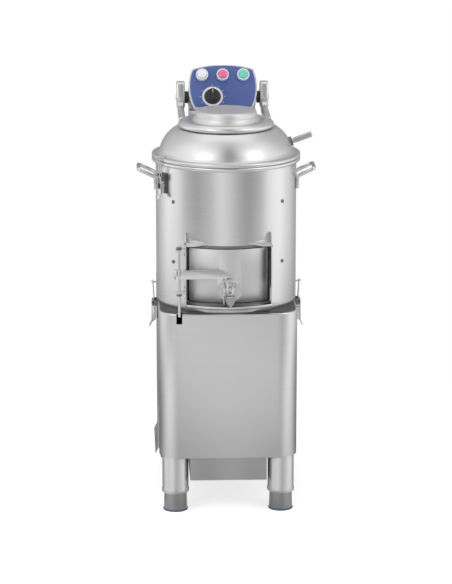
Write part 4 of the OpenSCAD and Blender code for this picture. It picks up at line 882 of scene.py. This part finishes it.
finished("control_plate", slab(panelOutline(0), 0, panel["thick"] - 0.3, panelFrame, 0.5), panelBorder)
added("panel_face", slab(panelOutline(-panel["border"], 5, 9), 0.5, panel["thick"], panelFrame, 0.25), panelBlue)
buttons = {"across": {"button_white": (-51, whiteCap), "button_red": (0, redCap), "button_green": (51, greenCap)},
    "up": 85, "ring": 15.5, "bore": 11.3, "tube": 12.8, "back": -14, "low": 2.2, "ringTop": 11.5, "cap": 11,
    "capTop": 16}


def makeButtons():
    b = buttons
    bore, ring, cap, ringTop, top = b["bore"], b["ring"], b["cap"], b["ringTop"], b["capTop"]
    bezel = rounded([(bore, b["low"]), (ring, b["low"], 0.3), (ring - 0.4, ringTop, 1.8),
        (bore + 0.6, ringTop, 0.8), (bore, ringTop - 1.5, 0.5)], 5)
    tube = [(bore, b["back"]), (b["tube"], b["back"]), (b["tube"], b["low"] + 0.3), (bore, b["low"] + 0.3)]
    crowned = rounded([(0, -8), (cap, -8, 0.5), (cap, top - 1.4, 1.6), (cap * 0.7, top - 0.45, 8), (0, top)], 5)
    spots = {name: panelFrame @ shift(x, b["up"], 0) for name, (x, _) in b["across"].items()}
    rings = [ring for spot in spots.values() for ring in (revolved(bezel, spot, 72), revolved(tube, spot, 48))]
    finished("button_bezels", rings, palePlastic)
    for name, (_, material) in b["across"].items():
        finished(name, revolved(crowned, spots[name], 72), material)


makeButtons()
knob = {"across": -26, "up": 29, "base": 2.9, "skirt": 19.5, "skirtH": 6, "body": 17.6, "bodyH": 13, "grip": 8,
    "height": 22, "ribs": 40, "stem": (3, -14.9), "ringIn": 20.6, "ringOut": 25.8, "raise": 0.12, "dotsAt": 30.5,
    "dots": 11, "sweep": 300}


def makeKnob():
    k = knob
    spot = panelFrame @ shift(k["across"], k["up"], k["base"])
    skirt, rise, body, top = k["skirt"], k["skirtH"], k["body"], k["bodyH"]
    turned = rounded([(0, 0), (skirt, 0, 0.4), (skirt, rise * 0.55, 1.5), (body, rise, 1.5), (body - 1.2, top, 1.8),
        (0, top + 0.8)], 5)
    stem, low = k["stem"]
    half, r = k["grip"] / 2, body - 1.5
    grip = rounded([(-half, -r + 1.5, 3), (half, -r + 1.5, 3), (half * 0.72, 0, 20), (half, r - 1.5, 3),
        (-half, r - 1.5, 3), (-half * 0.72, 0, 20)], 6)
    rib = revolved(rounded([(0, 0.6), (0.75, 0.6, 0.3), (0.75, rise * 0.6, 0.3), (0, rise * 0.75)], 3), unitScale, 10)
    circle = [Vector((*onCircle(skirt - 0.1, 360 * i / k["ribs"]), 0)) * mm for i in range(k["ribs"])]
    ribs = placed(repeated(circle, rib, blackPlastic), spot @ fromMetres)
    pieces = [revolved(turned, spot, 96), revolved([(0, low), (stem, low), (stem, 0.5), (0, 0.5)], spot, 24)]
    finished("timer_knob", pieces + [slab(grip, 1, k["height"], spot, 1.4, 4), ribs], blackPlastic)
    mark = slab([(-0.5, 2), (0.5, 2), (0.5, r - 4), (-0.5, r - 4)], k["height"] - 0.4, k["height"] + 0.15, spot, 0)
    added("knob_mark", mark, palePlastic, "timer_knob")


def makeDial():
    k = knob
    dial = panelFrame @ shift(k["across"], k["up"], 0)
    low, top = panel["thick"] - 0.5, panel["thick"] + k["raise"]
    ring = [(k["ringIn"], low), (k["ringOut"], low), (k["ringOut"], top), (k["ringIn"], top)]
    dot = revolved([(0, -0.3), (0.95, -0.3), (0.95, k["raise"]), (0, k["raise"])], unitScale, 16)
    spots = [Vector((*onCircle(k["dotsAt"], 90 - k["sweep"] / (k["dots"] - 1) * i), panel["thick"])) * mm
        for i in range(k["dots"])]
    dots = placed(repeated(spots, dot, palePlastic), dial @ fromMetres)
    added("dial_marks", [revolved(ring, dial, 96), dots], whiteCap)


makeKnob()
makeDial()

# Lid

print("lid")
lid = {"radius": 163, "arc": 88, "drop": 14.25, "flange": (852.3, 861.3), "rim": 179.5, "shelf": 921.8, "wall": 1.5,
    "mouth": 67, "hookBar": 185.2, "collar": 115.6, "collarRise": 18.5, "deck": 936.6, "crown": 80, "crownTop": 964,
    "steps": 192}


def makeDome():
    d = lid
    low, base = d["flange"]
    r, t, shelf = d["radius"], d["wall"], d["shelf"]
    middle = (r - math.sqrt(d["arc"] ** 2 - d["drop"] ** 2), base - d["drop"])
    start, stop = (math.degrees(math.asin((z - middle[1]) / d["arc"])) for z in (base + 5, shelf))
    outer = arcPoints(middle, d["arc"], start, stop, 30)
    inner = arcPoints(middle, d["arc"] - t, start, stop - 0.6, 30)[::-1]
    foot = rounded([(r - t, low, 0.6), (d["rim"], low, 3), (d["rim"], base, 3.4), (r + 3.2, base + 0.1, 3.5),
        outer[1]], 6, closed=False)
    mouth = [(d["mouth"] + 1, shelf), (d["mouth"], shelf - t / 2), (d["mouth"] + 1, shelf - t)]
    dome = revolved([tuple(p) for p in foot + outer[2:] + mouth + inner], steps=drum["steps"])
    finished("lid_dome", [dome, hook(toggleFrame(208), r - 1, d["hookBar"], base)], domeSteel)


def makeCollar():
    d = lid
    z, top, r, deck, bore = d["shelf"], d["shelf"] + d["collarRise"], d["collar"], d["deck"], d["mouth"]
    shape = rounded([(bore, z + 0.2), (r - 9, z + 0.2), (r - 4.5, z + 0.6, 1), (r - 0.2, z + 4, 6), (r, z + 11, 8),
        (r - 7, top - 0.6, 9), (r - 16, top, 6), (r - 25, top - 0.8, 4), (r - 29, deck, 3), (r - 34, deck - 0.1),
        (bore, deck - 0.1)], 7)
    finished("lid_collar", revolved(shape, steps=d["steps"]), domeSteel)


def makeCrown():
    d = lid
    z, top, r = d["deck"], d["crownTop"], d["crown"]
    shape = rounded([(r - 2, z), (r + 1.5, z, 0.8), (r + 1.5, z + 1.6, 0.8), (r - 1, z + 5, 4),
        (r - 3, z + 12, 1.5), (r - 5, z + 13.2, 1.2), (r - 6.5, top, 11), (r - 24, top, 6), (r - 34, top - 1.2),
        (0, top - 1.6), (0, top - 3.4), (r - 14, top - 3.4, 5), (r - 8, z + 11, 3), (r - 4, z + 6, 2)], 7)
    finished("lid_crown", revolved(shape, steps=d["steps"]), crownSteel)


makeDome()
makeCollar()
makeCrown()
arms = {"in": 93.5, "thick": 21, "strutIn": 96.5, "strutThick": 15, "hingeZ": 957, "top": 997, "back": 250,
    "front": 220, "tip": 44, "low": 917.8, "strutTop": 937.8}


def makeArms():
    a = arms
    front, back, low, middle, strutTop = a["front"], a["back"], a["low"], a["hingeZ"], a["strutTop"]
    upper = rounded([(front - 4, low + 14, 6), (back + 6, low + 14, 10), (back + 4, middle, 30),
        (back, a["top"], 12), (front + 2, a["top"], 12), (front - 7, middle, 30)], 8)
    strut = rounded([(a["tip"], low, 3), (back - 6, low, 14), (back - 2, middle - 6, 6), (front, middle - 4, 6),
        (front - 18, strutTop + 1, 22), (a["tip"], strutTop, 6)], 8)
    pieces = bothSides(upper, a["in"], a["thick"], drumAxis @ facing, 4, 4)
    pieces += bothSides(strut, a["strutIn"], a["strutThick"], drumAxis @ facing, 3, 4)
    finished("lid_arms", pieces, domeSteel)


makeArms()
cadShapes(blackPlastic, 0.8, "hinge_bushes", segments=3)
cadShapes(brightSteel, 1.5, "hinge_axle", segments=3)
inlet = {"x": 154.5, "z": 884.3, "tilt": 19.5, "nut": 12, "nutH": 6, "radius": 7, "bore": 4.5, "length": 56,
    "inside": 14, "barbs": 7}


def makeInlet():
    n = inlet
    spot = drumAxis @ shift(n["x"], 0, n["z"]) @ turn(90 - n["tilt"], "Y")
    r, bore, seat, end = n["radius"], n["bore"], n["nutH"], n["length"]
    pitch = (end - seat - 8) / n["barbs"]
    shape = [(bore, -n["inside"]), (r, -n["inside"]), (r, seat + 1), (r - 0.9, seat + 1)]
    for z in (seat + 6 + i * pitch for i in range(n["barbs"])):
        shape += [(r - 0.9, z - 0.2), (r, z), (r, z + 0.8), (r - 0.75, z + pitch - 0.6)]
    shape += [(r - 0.9, end - 1), (r - 1.6, end), (bore + 0.3, end), (bore, end - 0.6)]
    finished("water_inlet", revolved(shape, spot, 48), castAlloy)
    rim = n["nut"] - 0.4
    washer = revolved(rounded([(r, -0.8), (rim, -0.8, 0.3), (rim, 0.6, 0.3), (r, 0.6)], 2), spot, 48)
    added("inlet_nut", [slab(hexagon(n["nut"]), 0, seat, spot, 0.7, 3), washer], darkSteel, "lid")


makeInlet()

# Chute and door

print("chute and door")
chute = {"cheek": (101, 103.5), "low": 520, "top": 691, "front": -165, "root": -134.2, "bendZ": 640, "tipBack": 21,
    "wall": 169.7, "tray": 515, "trayTip": 199, "lintel": 661, "lip": 9.5, "lintelY": 162.5, "tip": 46,
    "lugs": (549, 652), "lugX": (-103, -118, -127), "seal": (-162, -146, 567, 655, 98.6),
    "catch": (-163, -150, 528, 561, 98.8), "stripOut": 101.1, "screwX": 103.4, "rightScrews": [(-152, 660)],
    "leftScrews": [(-152, 667), (-150, 640), (-150, 560)]}


def lintelWedge(s, sweep):  # a ledge along the drum and a wedge in front of it
    c = chute
    inner, tip, low, top = c["cheek"][0], c["tip"], c["lintel"], c["lintel"] + c["lip"]
    start = math.degrees(math.asin(tip / c["wall"]))
    ledge = arcPoints((0, 0), c["wall"], -90 + s * start, -90 + s * sweep, 14) + [(s * inner, -c["lintelY"])]
    lip = rounded([(s * inner, low), (s * inner, top), (s * (tip + 6), top, 2), (s * tip, top - 2, 1),
        (s * (tip + 14), low + 4, 10), (s * (tip + 36), low, 8)], 5)
    return [slab(ledge[::-s], top - 2, top, drumAxis, 0.5),
        slab(lip[::-s], c["lintelY"] - 2, c["lintelY"] + 0.5, drumAxis @ sideways, 0.6, 3)]


def makeChute():
    c = chute
    inner, outer = c["cheek"]
    low, top, front, root, wall, tray = c["low"], c["top"], c["front"], c["root"], c["wall"], c["tray"]
    sweep = math.degrees(math.asin(outer / wall))
    cheek = rounded([(root, low - 4), (front, low - 4, 6), (front, c["bendZ"], 8),
        (front + c["tipBack"] - 4, top - 7, 5), (front + c["tipBack"], top, 2), (root, top)], 5)
    pieces = bothSides(cheek, inner, outer - inner, drumAxis @ facing, 0.6, 3)
    pieces += lintelWedge(-1, sweep) + lintelWedge(1, sweep)
    sag = c["trayTip"] + front
    radius = (outer * outer + sag * sag) / (2 * sag)
    span = math.degrees(math.asin(outer / radius))
    edge, lip = (arcPoints((0, radius - c["trayTip"]), r, -90 - span, -90 + span, 28) for r in (radius, radius - 2.5))
    pieces.append(slab(edge + lip[::-1], tray + 0.5, low + 1.5, drumAxis, 0.8, 3))
    floor = edge + arcPoints((0, 0), wall, -90 + sweep, -90 - sweep, 28)
    added("chute_tray", slab(floor, tray + 0.2, tray + 2.5), trayShade)
    near, bend, far = c["lugX"]
    lug = rounded([(near, -158.5), (near, -171.5), (bend, -176, 8.6), (far, -176, 8.6), (far, -158, 8.6),
        (bend, -149), (near, -149)], 5)
    pieces += [slab(lug[::-1], z, z + 4, drumAxis, 0.5) for z in c["lugs"]]
    finished("discharge_chute", pieces, sheetSteel)


def chuteStrip(name, place, radii, material):
    front, back, low, top, side = place
    corners = zip((back, front, front, back), (low, low, top, top), radii)
    added(name, slab(rounded(list(corners), 4), side, chute["stripOut"], drumAxis @ facing), material)


def makeChuteTrim():
    chuteStrip("cheek_strip", chute["seal"], (0, 2, 2, 0), rubber)
    chuteStrip("catch_plate", chute["catch"], (1, 2, 3, 1), brightSteel)
    heads = []
    for s, spots in ((1, chute["rightScrews"]), (-1, chute["leftScrews"])):
        unit = placed(screwHead(3.4, 2), turn(s * 90, "Y"))
        heads.append(repeated([at(s * chute["screwX"], y, z) for y, z in spots], unit, darkSteel))
    added("chute_screws", heads, darkSteel)


makeChute()
makeChuteTrim()
cadShapes(doorSteel, 0.8, "door_panel")
cadShapes(brightSteel, 0.8, "door_strap", segments=3)
cadShapes(brightSteel, 0.5, "door_lever")
door = {"boss": (3, -180, 557), "bossR": 27.2, "bossRise": 0.6, "bolt": (-12, -184.8, 0), "boltLow": 514,
    "boltTop": 583, "studs": (557, 566), "knob": (3, -193, 0), "rod": (-118, -167, 0), "rodR": 3.2,
    "nuts": (543, 656)}


def makeBossRim():
    r, rise = door["bossR"], door["bossRise"]
    rim = rounded([(r - 2.9, -rise), (r, -rise, 0.3), (r, rise, 0.5), (r - 2.3, rise, 0.5)], 4)
    added("boss_rim", revolved(rim, drumAxis @ shift(*door["boss"]) @ turn(90, "X"), 72), doorSteel,
        "door")


def makeBolt():
    low, top = door["boltLow"], door["boltTop"]
    bolt = [(0, low), (1.2, low), (2, low + 1.5, 0.6)]
    for z in door["studs"]:
        bolt += [(2, z, 0.2), (4, z, 0.6), (4, z + 3, 0.6), (2, z + 3, 0.2)]
    bolt = rounded(bolt + [(2, top, 1), (0, top)], 3)
    finished("drop_bolt", revolved(bolt, drumAxis @ shift(*door["bolt"]), 24), brightSteel)


def makeLeverKnob():
    grip = drumAxis @ shift(*door["knob"])
    shape = rounded([(0, 524), (6.4, 524, 1.6), (9.4, 530, 8), (11.6, 538, 5), (11.2, 542.5, 3), (7, 544, 3),
        (0, 544)], 6)
    finished("lever_knob", revolved(shape, grip, 64), knobGrey)
    tip = revolved(rounded([(0, 519.4), (2, 519.6, 1), (3.2, 521.6, 1), (0, 521.8)], 3), grip, 24)
    added("knob_nut", [slab(hexagon(4.2), 521.4, 524.2, grip, 0.5), tip], brightSteel, "door_latch")


def makeHingeRod():
    hinge, r = drumAxis @ shift(*door["rod"]), door["rodR"]
    low, top = (corner.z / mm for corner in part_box("hinge_rod"))
    finished("hinge_rod", revolved(rounded([(0, low), (r, low, 1), (r, top, 1.4), (0, top)], 3), hinge, 32),
        brightSteel)
    nuts = [slab(hexagon(7, 15), z, z + 6, hinge, 0.7, 3) for z in door["nuts"]]
    added("hinge_nuts", nuts, darkSteel)


makeBossRim()
makeBolt()
makeLeverKnob()
makeHingeRod()
spring = {"from": (-2, -191.5, 581), "to": (16, -191.5, 567), "clear": 1.8, "curls": 9.0, "radius": 2.8,
    "wire": 0.5, "ends": 2.2, "eye": 2.1, "pinned": 2.5}


def makeSpring():
    s = spring
    a, b = Vector(s["from"]), Vector(s["to"])
    way = (b - a).normalized()
    inset = s["clear"] + s["ends"]
    lay = way.to_track_quat("Z", "Y").to_matrix().to_4x4()
    body = grown([], coil, {"Curls": s["curls"], "Radius": s["radius"] * mm, "Wire": s["wire"] * mm,
        "Length": ((b - a).length - 2 * inset) * mm, "Finish": brightSteel})
    pieces = [placed(body, drumAxis @ Matrix.Translation(a + way * inset) @ lay @ fromMetres)]
    for end, out in ((a, way), (b, -way)):
        eye = [end + lay @ Vector((x, 0, z)) for x, z in (onCircle(s["eye"], 30 * k) for k in range(12))]
        leg = [end + out * s["eye"], end + out * inset + lay @ Vector((s["radius"], 0, 0))]
        pieces += [sweptTube(eye, s["wire"], 10, 0.5, 2, closed=True), sweptTube(leg, s["wire"], 10, 1, 1)]
    obj = dressed("lever_spring_finished", pieces, brightSteel, ["lever_spring"])
    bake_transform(obj)


makeSpring()

scene.view_settings.view_transform = "Standard"
